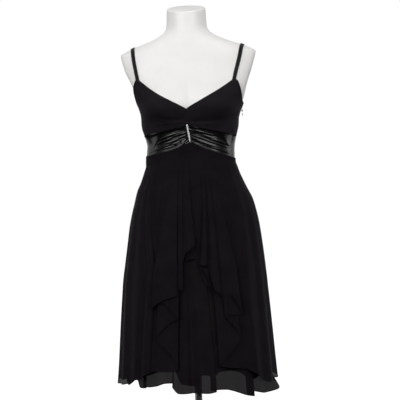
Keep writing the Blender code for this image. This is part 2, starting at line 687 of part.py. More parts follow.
def build_stand(parent):
    """Round base with a boss, the pole, and a collar under the form."""
    turned_solid("stand_base", BASE_PROFILE, BASE_SEGMENTS, STEEL, parent)
    turned_solid("stand_pole", POLE_PROFILE, POLE_SEGMENTS, STEEL, parent)
    turned_tube("stand_collar", COLLAR_PROFILE, POLE_SEGMENTS, STEEL, parent)


# ================================================================== bodice
def side_edge(side, theta):
    """Height of the bodice front's top edge on one side.

    From the V the neckline rises to the strap, nearly straight as seen from the
    front and a little hollow; it is level under the strap, then falls along the
    armhole to the side seam.
    """
    sign = math.copysign(1, side.strap_x)
    bearing = sign * theta
    z = np.full_like(theta, side.strap_z)
    for _ in range(EDGE_PASSES):
        x = sign * (form_radius(theta, z) * np.sin(theta) + column(FORM, "shift", z))
        start = sign * BAND_TOP.peak_x
        inner = abs(side.strap_x) - STRAP_WIDTH / 2
        share = np.clip((x - start) / (inner - start), 0, 1)
        sag = side.neck_sag * np.sin(math.pi * share**NECK_SAG_POWER)
        z = V_POINT_Z + (side.strap_z - V_POINT_Z) * share - sag
    outer = strap_angles(side)[1]
    fall = np.exp(-np.maximum(bearing - outer, 0) / ARMHOLE_FALL)
    armhole = side.side_z + (side.strap_z - side.side_z) * fall
    return np.where(bearing > outer, armhole, z)


def strap_angles(side):
    """The angles, off the centre front, between which the strap meets the bodice."""
    centre_x = abs(side.strap_x)
    sign = math.copysign(1, side.strap_x)
    shift = float(column(FORM, "shift", np.array([side.strap_z]))[0])
    wanted = np.array([centre_x - STRAP_WIDTH / 2, centre_x + STRAP_WIDTH / 2]) - sign * shift
    tries = np.linspace(*STRAP_SEARCH, STRAP_SEARCH_STEPS)
    x = form_radius(sign * tries, np.full_like(tries, side.strap_z)) * np.sin(tries)
    return np.interp(wanted, x, tries)


def build_bodice_front(name, side, parent):
    """One gathered cup from the centre join to the side seam, with its two bindings."""
    sign = math.copysign(1, side.strap_x)
    inner, outer = strap_angles(side)
    first = sign * BAND_TOP.peak_x / BAND_DEPTH + SEAM_HALF / BAND_DEPTH
    last = math.pi / 2 - SEAM_HALF / BODICE_REACH
    clear = 2 * SEAM / BODICE_REACH
    neck = np.linspace(first, inner - 2 * clear, NECK_COLUMNS)
    arm_start = outer + 2 * clear
    arm = arm_start + (last - arm_start) * np.linspace(0, 1, ARM_COLUMNS) ** ARM_CROWDING
    strap = np.array([inner - clear, inner, (inner + outer) / 2, outer, outer + clear])
    bearing = np.concatenate([neck, strap, arm])
    theta = sign * bearing
    top = side_edge(side, theta)
    neck_top, arm_top = top[:NECK_COLUMNS], top[-ARM_COLUMNS:]
    neck_width, arm_width = binding_width(neck, neck_top), binding_width(arm, arm_top)
    gap = 1 + 2 * SEAM / BINDING_WIDTH
    bare = np.zeros(len(strap) - 2)
    bound = np.concatenate([neck_width, neck_width[-1:], bare, arm_width[:1], arm_width]) * gap
    low = band_edge(BAND_TOP, theta) + SEAM
    share = np.linspace(1, 0, BODICE_ROWS)[:, None]
    z = low[None, :] + (top - bound - low)[None, :] * share
    angle = np.broadcast_to(theta, z.shape)
    ride = EASE + BODICE_WALL / 2 + cup_fullness(angle, z)
    middle = around(angle, z, dressed_radius(angle, z) + ride)
    wall("bodice_front_" + name, middle, BODICE_WALL, CHIFFON_BLACK, parent)
    build_binding("neckline_binding_" + name, sign * neck, neck_top, neck_width, parent)
    build_binding("armhole_binding_" + name, sign * arm, arm_top, arm_width, parent)


def binding_width(bearing, top):
    """Height that a binding of even width takes up along a sloping edge."""
    slope = np.gradient(top, bearing) / BODICE_REACH
    return BINDING_WIDTH * np.sqrt(1 + slope**2)


def build_binding(name, theta, top, width, parent):
    """A satin edge along the top of a bodice front, ending just short of the strap."""
    z = np.stack([top, top - width])
    angle = np.broadcast_to(theta, z.shape)
    ride = EASE + BINDING_WALL / 2 + cup_fullness(angle, z)
    middle = around(angle, z, form_radius(angle, z) + ride)
    wall(name, middle, BINDING_WALL, SATIN_BLACK, parent)


def back_edge(theta):
    """Height of the bodice back's top edge: level with the armholes, lower at the centre."""
    sine = np.sin(theta)
    side = (LEFT_BODICE.side_z * (1 + sine) + RIGHT_BODICE.side_z * (1 - sine)) / 2
    return side - BACK_DIP * (1 - np.abs(sine)) ** BACK_DIP_POWER


def build_bodice_back(parent):
    """The back, from side seam to side seam."""
    edge = math.pi / 2 + SEAM_HALF / BODICE_REACH
    theta = np.linspace(edge, 2 * math.pi - edge, BACK_COLUMNS)
    low = band_edge(BAND_TOP, theta) + SEAM
    share = np.linspace(1, 0, BACK_ROWS)[:, None]
    z = low[None, :] + (back_edge(theta) - low)[None, :] * share
    angle = np.broadcast_to(theta, z.shape)
    ride = EASE + BODICE_WALL / 2 + cup_fullness(angle, z)
    middle = around(angle, z, dressed_radius(angle, z) + ride)
    wall("bodice_back", middle, BODICE_WALL, CHIFFON_BLACK, parent)


def on_form(x, bearing):
    """Where a ray from the shoulder's middle leaves the form, in the plane of each x.

    bearing is the ray's angle in that plane from straight forward over the top.
    """
    near, far = np.zeros_like(x), np.full_like(x, FARTHEST_REACH)
    for _ in range(HALVINGS):
        reach = (near + far) / 2
        y = SHOULDER_PIVOT_Y - reach * np.cos(bearing)
        z = SHOULDER_PIVOT_Z + reach * np.sin(bearing)
        across = x - column(FORM, "shift", z)
        along = y - column(FORM, "centre", z)
        inside = np.hypot(across, along) < form_radius(np.arctan2(across, -along), z)
        near, far = np.where(inside, reach, near), np.where(inside, far, reach)
    return np.stack([x, y, z], axis=-1)


def strap_path(side, count):
    """The middle line of a strap on the form, from the bodice front to the back.

    Its x moves from the top's to each end's in step with the drop of the bearing's
    sine, so that the strap runs straight as seen from the front and from the back.
    """
    bearing = np.linspace(*STRAP_SWEEP, STRAP_TRIES)
    in_front = bearing < math.pi / 2
    end = np.where(in_front, *STRAP_ENDS)
    end_x = np.where(in_front, side.strap_x, side.strap_back_x)
    drop = (1 - np.sin(bearing)) / (1 - np.sin(end))
    points = on_form(side.strap_top_x + (end_x - side.strap_top_x) * drop, bearing)
    top = int(np.argmax(points[:, 2]))
    start = int(np.argmax(points[:top, 2] >= side.strap_z))
    back_angle = np.arctan2(points[:, 0], -points[:, 1])
    stop = top + int(np.argmax(points[top:, 2] <= back_edge(back_angle[top:])))
    kept = points[max(start - 1, 0):stop + 1]
    length = np.concatenate([[0], np.cumsum(np.linalg.norm(np.diff(kept, axis=0), axis=1))])
    wanted = np.linspace(0, length[-1], count)
    return np.stack([np.interp(wanted, length, kept[:, k]) for k in range(3)], axis=-1)


def form_normals(points):
    """Outward normals of the form at points near it, by differences."""

    def outside(at):
        across = at[:, 0] - column(FORM, "shift", at[:, 2])
        along = at[:, 1] - column(FORM, "centre", at[:, 2])
        return np.hypot(across, along) - form_radius(np.arctan2(across, -along), at[:, 2])

    steps = NORMAL_STEP * np.eye(3)
    slopes = [outside(points + step) - outside(points - step) for step in steps]
    normals = np.stack(slopes, axis=-1)
    return normals / np.linalg.norm(normals, axis=-1, keepdims=True)


def build_strap(name, side, parent):
    """A flat satin strap over the shoulder, cut level where it meets the bodice."""
    path = strap_path(side, STRAP_RINGS)
    along = np.gradient(path, axis=0)
    along /= np.linalg.norm(along, axis=-1, keepdims=True)
    out = form_normals(path)
    out -= along * np.sum(out * along, axis=-1, keepdims=True)
    out /= np.linalg.norm(out, axis=-1, keepdims=True)
    across = np.cross(along, out)
    corners = []
    for side_step, lift in ((-1, STRAP_LIFT), (1, STRAP_LIFT), (1, STRAP_LIFT + STRAP_WALL),
                            (-1, STRAP_LIFT + STRAP_WALL)):
        corners.append(path + across * side_step * STRAP_WIDTH / 2 + out * lift)
    rings = np.stack(corners, axis=1)
    ends = ((0, side.strap_z + SEAM), (-1, None))
    for row, height in ends:
        ring = rings[row]
        if height is None:
            height = back_edge(np.arctan2(ring[:, 0], -ring[:, 1])) + SEAM
        step = (height - ring[:, 2]) / along[row][2]
        rings[row] = ring + step[:, None] * along[row]
    return rings_solid("strap_" + name, rings, SATIN_BLACK, parent)


# ================================================================== midriff band
def band_relief(share_round, share_up):
    """Relief of the folds that fan from the bar and melt into the side."""
    fan = share_up + FOLD_FAN * np.sin(math.pi * share_round) * (1 - share_up)
    stray = FOLD_UNEVEN * np.sin(FOLD_BEAT * fan)
    ridge = 0.5 + 0.5 * np.cos(2 * math.pi * (BAND_FOLDS * fan + stray))
    deepest, haste = FOLD_SWELL
    swell = np.sin(math.pi * np.clip(share_round * deepest, 0, 1)) ** haste
    strength = FOLD_AT_BAR + (1 - FOLD_AT_BAR) * swell
    strength = strength * (1 - ease((share_round - FOLD_FADE) / (1 - FOLD_FADE)))
    return FOLD_RELIEF * strength * ridge**FOLD_SHARPNESS


def build_band_front(name, sign, parent):
    """One satin half of the band, from the centre join to the side seam."""
    share_round = (np.linspace(0, 1, BAND_COLUMNS) ** BAND_CROWDING)[None, :]
    share_up = np.linspace(1, 0, BAND_ROWS)[:, None]
    end = math.pi / 2 - SEAM_HALF / BAND_REACH
    z_centre = BAND_BOTTOM.centre + (BAND_TOP.centre - BAND_BOTTOM.centre) * share_up
    start = sign * join_angle(z_centre) + SEAM_HALF / BAND_DEPTH
    bearing = start + (end - start) * share_round
    theta = sign * bearing
    low, high = band_edge(BAND_BOTTOM, theta), band_edge(BAND_TOP, theta)
    z = low + (high - low) * share_up
    thickness = BAND_WALL + band_relief(share_round, share_up)
    middle = around(theta, z, dressed_radius(theta, z) + EASE + thickness / 2)
    wall("band_front_" + name, middle, thickness, SATIN_BLACK, parent)


def build_band_back(parent):
    """The band's plain back."""
    edge = math.pi / 2 + SEAM_HALF / BAND_REACH
    theta = np.linspace(edge, 2 * math.pi - edge, BAND_BACK_COLUMNS)[None, :]
    share_up = np.linspace(1, 0, BAND_BACK_ROWS)[:, None]
    low, high = band_edge(BAND_BOTTOM, theta), band_edge(BAND_TOP, theta)
    z = low + (high - low) * share_up
    middle = around(theta, z, dressed_radius(theta, z) + EASE + BAND_WALL / 2)
    wall("band_back", middle, BAND_WALL, SATIN_BLACK, parent)


def build_bar(parent):
    """The jewelled bar over the join of the two band fronts."""
    high, low = BAND_TOP.centre + BAR_OVERHANG, BAND_BOTTOM.centre - BAR_OVERHANG
    z = np.linspace(high, low, BAR_ROWS)[:, None]
    step = np.linspace(-0.5, 0.5, BAR_COLUMNS)[None, :] * BAR_WIDTH
    theta = join_angle(z) + step / BAND_DEPTH
    inside = EASE + BAND_WALL + FOLD_RELIEF / 2 + SEAM
    middle = around(theta, z, form_radius(theta, z) + inside + BAR_WALL / 2)
    wall("brooch_bar", middle, BAR_WALL, SILVER, parent)


# ================================================================== skirt
def back_turns(out, hem, drop):
    """Turns of a layer's back from the left seam round to the right, by formula."""
    index = np.arange(2 * BACK_FOLDS + 1)
    share = index / (2 * BACK_FOLDS)
    stray = BACK_UNEVEN * np.sin(BACK_STRAY * index) * np.sin(math.pi * share)
    angle = math.pi / 2 + math.pi * share + stray
    valley, ridge = out
    uneven = (1 + BACK_LEAST) / 2 + (1 - BACK_LEAST) / 2 * np.cos(BACK_BEAT * index)
    stand = np.where(index % 2 == 1, ridge * uneven, valley)
    wave = HEM_WAVE * (np.cos(math.pi * index) + np.sin(BACK_HEM_BEAT * index))
    return angle, stand / 1000, hem - drop * np.sin(math.pi * share) + wave


def turn_rows(rows):
    """Angle in radians, stand-out and hem height in metres of the table's turns."""
    table = np.array(rows)
    return np.radians(table[:, 0]), table[:, 1] / 1000, table[:, 2]


def match_ends(rows, first, last):
    """Makes a back's end turns stand out and hang as the front's do at the seams."""
    angle, stand, height = rows
    stand[0], height[0] = last[1] / 1000, last[2]
    stand[-1], height[-1] = first[1] / 1000, first[2]
    return angle, stand, height


def hanging_rows(top, hem, drops=UPPER_DROPS):
    """Heights of a skirt panel's rows: alike in every layer over the hips, then evened out."""
    upper = top - np.array(drops)[:, None]
    lower = upper[-1] + (hem - upper[-1]) * np.array(LOWER_SHARES)[:, None]
    return np.concatenate([upper, lower])


def skirt_panel(name, turns, base, cascade, parent):
    """A skirt layer's panel that hangs from the band and opens into folds.

    turns are the cloth's turns along the hem. A thread starts at the waist at an
    angle in step with the length of cloth before it, and swings to its angle at
    the hem as the folds form. base gives the layer's innermost radius. cascade is
    1 for a layer whose folds beside the opening are complete high up, else 0.
    """
    curve = through(np.stack(turns, axis=-1), 2)
    kept = np.ones(len(curve), bool)
    kept[1::2] = np.abs(np.diff(turns[0])) > FOLD_TIP
    angle, stand, hem = curve[kept].T
    run = np.concatenate([[0], np.cumsum(np.abs(np.diff(angle)) + FOLD_TIP_CLOTH)])
    evenly = angle[0] + (angle[-1] - angle[0]) * run / run[-1]
    cut = SEAM_HALF / WAIST_REACH
    for row, step in ((0, cut), (-1, -cut)):
        evenly[row] += step
        angle[row] += step * SEAM_SHARE_AT_HEM
    top = band_edge(BAND_BOTTOM, evenly) - SEAM
    z = hanging_rows(top[None, :], hem[None, :], CASCADE_DROPS if cascade else UPPER_DROPS)
    low, high = CASCADE_EDGES
    near = cascade * (1 - ease((np.abs(angle) - low) / (high - low)))
    formed = SIDE_FORMED + (CASCADE_FORMED - SIDE_FORMED) * near
    shape = np.clip((top - z) / (top - formed), 0, 1)
    swing = shape ** (FOLD_GROWTH + (SWING_GROWTH - FOLD_GROWTH) * near)
    growth = shape ** (FOLD_GROWTH + (STAND_GROWTH - FOLD_GROWTH) * near)
    theta = evenly[None, :] + (angle - evenly)[None, :] * swing
    middle = around(theta, z, base(theta, z) + stand[None, :] * growth)
    wall(name, middle, CHIFFON, CHIFFON_BLACK, parent)


def build_skirt(parent):
    """Overlay and underskirt, front and back."""
    skirt_panel("overlay_front", turn_rows(OVERLAY_FRONT), overlay_base, 1, parent)
    skirt_panel("underskirt_front", turn_rows(UNDERSKIRT_FRONT), flicked_base, 0, parent)
    back = back_turns(OVERLAY_BACK_OUT, OVERLAY_BACK_HEM, OVERLAY_BACK_DROP)
    back = match_ends(back, OVERLAY_FRONT[0], OVERLAY_FRONT[-1])
    skirt_panel("overlay_back", back, overlay_base, 0, parent)
    back = back_turns(UNDERSKIRT_BACK_OUT, UNDERSKIRT_BACK_HEM, UNDERSKIRT_BACK_DROP)
    back = match_ends(back, UNDERSKIRT_FRONT[0], UNDERSKIRT_FRONT[-1])
    skirt_panel("underskirt_back", back, flicked_base, 0, parent)


def lining_hem(theta):
    """Height of the lining's hem: slightly wavy, and lower beside the pole in front."""
    turned = np.arctan2(np.sin(theta), np.cos(theta))
    drop = LINING_DROP * np.exp(-(((turned - LINING_DROP_AT) / LINING_DROP_SPREAD) ** 2))
    return LINING_HEM - drop + HEM_WAVE * np.cos(LINING_WAVES * theta)


def build_lining(name, first, last, parent):
    """One lining panel with shallow waves."""
    theta = np.linspace(first, last, LINING_COLUMNS)
    theta[0] += SEAM_HALF / WAIST_REACH
    theta[-1] -= SEAM_HALF / WAIST_REACH
    top = band_edge(BAND_BOTTOM, theta) - SEAM
    z = hanging_rows(top[None, :], lining_hem(theta)[None, :])
    wave = 0.5 + 0.5 * np.cos(LINING_WAVES * theta)
    fold = LINING_FOLD * LINING_WAVE_SHARE * fold_growth(z) * wave[None, :]
    radius = skirt_radius(theta[None, :], z) + CHIFFON / 2 + fold
    wall(name, around(theta[None, :], z, radius), CHIFFON, LINING_BLACK, parent)


# ================================================================== side zip
def box(name, low, high, finish, parent):
    """A box between two corners."""
    bm = bmesh.new()
    bmesh.ops.create_cube(bm, size=1.0)
    low, high = np.asarray(low), np.asarray(high)
    for vert in bm.verts:
        vert.co = (low + high) / 2 + np.array(vert.co) * (high - low)
    return place(name, bm, finish, parent)


def rod(name, radius, half_length, centre, segments, finish, parent):
    """A round rod along Y about a centre."""
    turn = np.linspace(0, 2 * math.pi, segments, endpoint=False)
    rings = np.stack([
        np.stack([centre[0] + radius * np.cos(turn), np.full(segments, centre[1] + end),
                  centre[2] + radius * np.sin(turn)], axis=-1)
        for end in (-half_length, half_length)
    ])
    return rings_solid(name, rings, finish, parent)


def combine(target, tool, operation):
    """Joins or cuts the target with a hidden tool object."""
    tool.hide_render = True
    tool.display_type = "WIRE"
    step = target.modifiers.new(operation.lower(), "BOOLEAN")
    step.operation = operation
    step.solver = "EXACT"
    step.object = tool


def slider_frame():
    """Where the slider sits on the side seam: a point on the cloth, and the cloth's lean."""
    at = SLIDER_Z + np.linspace(-0.5, 0.5, 3) * SLIDER_LENGTH
    side = np.full_like(at, math.pi / 2)
    reach = column(FORM, "shift", at) + form_radius(side, at) + cup_fullness(side, at)
    lean = math.atan2(reach[2] - reach[0], at[2] - at[0])
    centre_y = column(FORM, "centre", at)[1]
    return np.array([reach[1] + EASE + BODICE_WALL, centre_y, SLIDER_Z]), lean


def build_zip(parent, pull_parent):
    """The slider over the seam and the drop-shaped tab on its cross pin."""
    at, lean = slider_frame()
    plate = box("zip_slider", (SEAM * 3, -SLIDER_WIDTH / 2, -SLIDER_LENGTH / 2),
                (SEAM * 3 + SLIDER_PLATE, SLIDER_WIDTH / 2, SLIDER_LENGTH / 2), SILVER, parent)
    for number, side in enumerate((-1, 1)):
        ends = sorted((side * EAR_INNER, side * (EAR_INNER + EAR_WALL)))
        ear = box("ear_%d" % number, (SEAM * 4, ends[0], -EAR_HALF_LENGTH),
                  (EAR_HEIGHT, ends[1], EAR_HALF_LENGTH), SILVER, parent)
        combine(plate, ear, "UNION")
        ear.location, ear.rotation_euler = at, (0, lean, 0)
    pin = rod("cross_pin", PIN_RADIUS, EAR_INNER + EAR_WALL / 2, (PIN_OUT, 0, 0), 12, SILVER, parent)
    combine(plate, pin, "UNION")
    for obj in (plate, pin):
        obj.location, obj.rotation_euler = at, (0, lean, 0)

    barrel = rod("zip_pull_tab", BARREL_RADIUS, BARREL_HALF, (0, 0, 0), 14, SILVER, pull_parent)
    share = np.array(TAB_SHARES)[:, None]
    turn = np.linspace(0, 2 * math.pi, TAB_SIDES, endpoint=False)[None, :]
    taper = TAB_TOP_SHARE + (1 - TAB_TOP_SHARE) * ease(share / TAB_WIDEST)
    rounded = np.sqrt(np.maximum(1 - share**TAB_ROUNDING, TAB_END_SHARE**2))
    width = TAB_HALF_WIDTH * taper * rounded
    height = -BARREL_RADIUS - share * (TAB_LENGTH - BARREL_RADIUS)
    rings = np.stack([
        width * TAB_FLATNESS * np.cos(turn),
        width * np.sin(turn),
        np.broadcast_to(height, width.shape[:1] + turn.shape[1:]),
    ], axis=-1)
    drop = rings_solid("drop", rings, SILVER, pull_parent)
    half = TAB_NECK_HALF
    neck = box("neck", (-half, -half, -BARREL_RADIUS - half), (half, half, -BARREL_BORE - half / 4),
               SILVER, pull_parent)
    bore = rod("bore", BARREL_BORE, BARREL_HALF * 2, (0, 0, 0), 10, SILVER, pull_parent)
    combine(barrel, drop, "UNION")
    combine(barrel, neck, "UNION")
    combine(barrel, bore, "DIFFERENCE")
    pivot = at + np.array([math.cos(lean) * PIN_OUT, 0, -math.sin(lean) * PIN_OUT])
    pull_parent.location = pivot
    return pivot


# ================================================================== the whole part
def empty(name):
    """A parent with no shape of its own."""
    made = bpy.data.objects.new(name, None)
    bpy.context.scene.collection.objects.link(made)
    return made


def main():
    """Builds the form, the stand and the dress."""
    for obj in list(bpy.data.objects):
        bpy.data.objects.remove(obj, do_unlink=True)
    stand = empty("stand")
    dress = empty("dress")
    pull = empty("zip_pull_axis")
    build_stand(stand)
    build_form(stand)
    for name, side in (("left", LEFT_BODICE), ("right", RIGHT_BODICE)):
        build_bodice_front(name, side, dress)
        build_strap(name, side, dress)
        build_band_front(name, math.copysign(1, side.strap_x), dress)
    build_bodice_back(dress)
    build_band_back(dress)
    build_bar(dress)
    build_skirt(dress)
    build_lining("lining_front", -math.pi / 2, math.pi / 2, dress)
    build_lining("lining_back", math.pi / 2, 3 * math.pi / 2, dress)
    build_zip(dress, pull)


main()
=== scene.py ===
"""The looks of a black cocktail dress on a white limbless dress form with its stand.

Metres, +Z up. The dress faces -Y, so the wearer's left is +X. Every sheet of cloth
follows a surface r(theta, z) around the form, where theta is measured from the
centre front towards the wearer's left. Each sub-assembly is a class: its fields are
its sizes, and its methods build its meshes and dress them.
"""

import logging
import math
from dataclasses import dataclass
from enum import Enum
from typing import NamedTuple

import bpy
import numpy as np
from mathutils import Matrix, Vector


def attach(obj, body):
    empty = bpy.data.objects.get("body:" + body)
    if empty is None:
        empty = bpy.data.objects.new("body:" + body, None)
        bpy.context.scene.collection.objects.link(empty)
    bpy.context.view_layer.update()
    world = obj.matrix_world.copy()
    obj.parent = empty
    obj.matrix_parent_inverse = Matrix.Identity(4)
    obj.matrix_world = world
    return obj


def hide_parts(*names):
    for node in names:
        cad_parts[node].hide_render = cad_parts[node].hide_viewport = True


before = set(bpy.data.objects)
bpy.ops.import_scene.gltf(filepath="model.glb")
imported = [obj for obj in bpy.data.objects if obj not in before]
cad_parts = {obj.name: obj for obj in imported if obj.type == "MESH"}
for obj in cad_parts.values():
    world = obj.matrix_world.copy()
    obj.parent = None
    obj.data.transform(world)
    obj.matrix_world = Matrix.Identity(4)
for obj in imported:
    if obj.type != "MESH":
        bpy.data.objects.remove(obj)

Grid = np.ndarray
Three = tuple[float, float, float]
Material, Object, Socket = bpy.types.Material, bpy.types.Object, bpy.types.NodeSocket

LOG = logging.getLogger("cocktail_dress")
CLOTH_MAP = "cloth"  # every mesh's map: places on the flat cloth, in metres
BODY = "dress_on_form"  # new pieces ride on it; the tab's body holds only its own node

TURN, QUARTER = 2 * math.pi, math.pi / 2
SEAM_HALF = 0.00003  # half of the gap at a seam
LAYER_GAP = 0.0005
EASE = 0.0012  # gap between the form and the innermost cloth
CHIFFON_ROOM = 0.001  # room kept for one chiffon or lining panel
BODICE_ROOM = 0.0013
BAND_ROOM = 0.0032
CHIFFON_WALL = 0.0006
BODICE_REACH = 0.14  # how far the side seam lies from the axis, at the bodice,
BAND_REACH = 0.112  # at the band
WAIST_REACH = 0.115  # and at the top of the skirt
FORM_BOTTOM = 0.6
TUCK = 0.0004  # how far bodice and skirt run past the band's edges, under it
ON_BODICE = EASE + BODICE_ROOM + 0.0001  # lift of what lies on the bodice's cloth


# ---- named choices
class Side(Enum):
    """A side of the wearer, by the sign of its x."""

    LEFT = 1
    RIGHT = -1

    @property
    def label(self) -> str:
        """The side's name as the nodes spell it."""
        return self.name.lower()


class Slot(Enum):
    """The record's material slots."""

    CHIFFON = "chiffon"
    SATIN = "satin"
    LINING = "lining"
    FORM = "form_shell"
    STEEL = "steel"
    DIAMANTE = "diamante"
    ZIP = "zip_metal"


class Held(Enum):
    """How a sheet of cloth is held."""

    HUNG = "hung"
    GATHERED = "gathered"
    STRETCHED = "stretched"
    FOLDED = "folded"


# ---- small helpers
def ease(t: Grid) -> Grid:
    """0 to 1 with a level start and end: three times the square less twice the cube."""
    t = np.clip(t, 0.0, 1.0)
    return t * t * (3 - 2 * t)


def smooth_least(a: Grid, b: Grid, rounding: float | Grid) -> Grid:
    """The lesser of a and b, rounded at the corner by a logarithm of exponentials."""
    low = np.minimum(a, b)
    return low - rounding * np.log(np.exp((low - a) / rounding) + np.exp((low - b) / rounding))


def rows_of(kind: type, *rows: tuple) -> tuple:
    """A table's rows, each as a named tuple of one kind."""
    return tuple(kind(*row) for row in rows)


def unit(vectors: Grid) -> Grid:
    """The vectors, each divided by its own length."""
    return vectors / np.linalg.norm(vectors, axis=-1, keepdims=True)


def column(rows: tuple, name: str, z: Grid) -> Grid:
    """A table's column at other heights.

    A monotone cubic through the rows: each tangent is the harmonic mean of the
    slopes beside it, or level where they differ in sign.

    Args:
        rows: the table, sorted by its column z.
        name: the column to read.
        z: the heights wanted.

    Returns:
        The column's values at z, held level past the table's ends.
    """
    heights = np.array([row.z for row in rows])
    values = np.array([getattr(row, name) for row in rows])
    steps = np.diff(heights)
    slopes = np.diff(values) / steps
    product = slopes[:-1] * slopes[1:]
    total = np.where(product > 0, slopes[:-1] + slopes[1:], 1.0)
    inner = np.where(product > 0, 2.0 * product / total, 0.0)
    tangents = np.concatenate([slopes[:1], inner, slopes[-1:]])
    z = np.clip(z, heights[0], heights[-1])
    i = np.clip(np.searchsorted(heights, z) - 1, 0, len(heights) - 2)
    t = (z - heights[i]) / steps[i]
    rise = values[i + 1] - values[i]
    bend_in = tangents[i] * steps[i]
    bend_out = tangents[i + 1] * steps[i]
    cubic = (bend_in + bend_out - 2 * rise) * t**3
    return values[i] + bend_in * t + (3 * rise - 2 * bend_in - bend_out) * t**2 + cubic


def side_column(rows: tuple, theta: Grid, z: Grid) -> Grid:
    """A table's column left or right, whichever side the angle is on, at other heights."""
    return np.where(np.sin(theta) > 0, column(rows, "left", z), column(rows, "right", z))


def between_sides(left: float, right: float, theta: Grid) -> Grid:
    """A value between the two sides' own, in step with the angle's sine."""
    return (left * (1 + np.sin(theta)) + right * (1 - np.sin(theta))) / 2


def through(points: Grid, steps: int, slack: float = 0.38) -> Grid:
    """A cardinal curve through points.

    Between two points it is Hermite's cubic, whose tangents are the slack times the
    chord from the point before to the point after.

    Args:
        points: one row for each point.
        steps: how many steps each interval gets.
        slack: how strongly the curve bends round its points.

    Returns:
        The curve's points, one row each.
    """
    before = np.vstack([2 * points[:1] - points[1:2], points[:-1]])
    after = np.vstack([points[1:], 2 * points[-1:] - points[-2:-1]])
    tangents = (after - before) * slack
    t = np.linspace(0, 1, steps, endpoint=False)[None, :, None]
    start, end = points[:-1, None, :], points[1:, None, :]
    lean, land = tangents[:-1, None, :], tangents[1:, None, :]
    curve = (
        (2 * t**3 - 3 * t**2 + 1) * start
        + (t**3 - 2 * t**2 + t) * lean
        + (3 * t**2 - 2 * t**3) * end
        + (t**3 - t**2) * land
    )
    return np.vstack([curve.reshape(-1, points.shape[1]), points[-1:]])


def lengths(points: Grid, axis: int) -> Grid:
    """Length run so far along an axis of a grid of points, from 0 at its first."""
    steps = np.linalg.norm(np.diff(points, axis=axis), axis=-1)
    return np.insert(np.cumsum(steps, axis=axis), 0, 0.0, axis=axis)


def read_along(rows: Grid, run: Grid, wanted: Grid) -> Grid:
    """Rows of three numbers, read at other lengths run, in step between two of them."""
    return np.stack([np.interp(wanted, run, rows[:, k]) for k in range(3)], axis=-1)


def evenly_spaced(path: Grid, count: int) -> Grid:
    """A path's points read again at even steps of its own length."""
    run = lengths(path, 0)
    return read_along(path, run, np.linspace(0, run[-1], count))


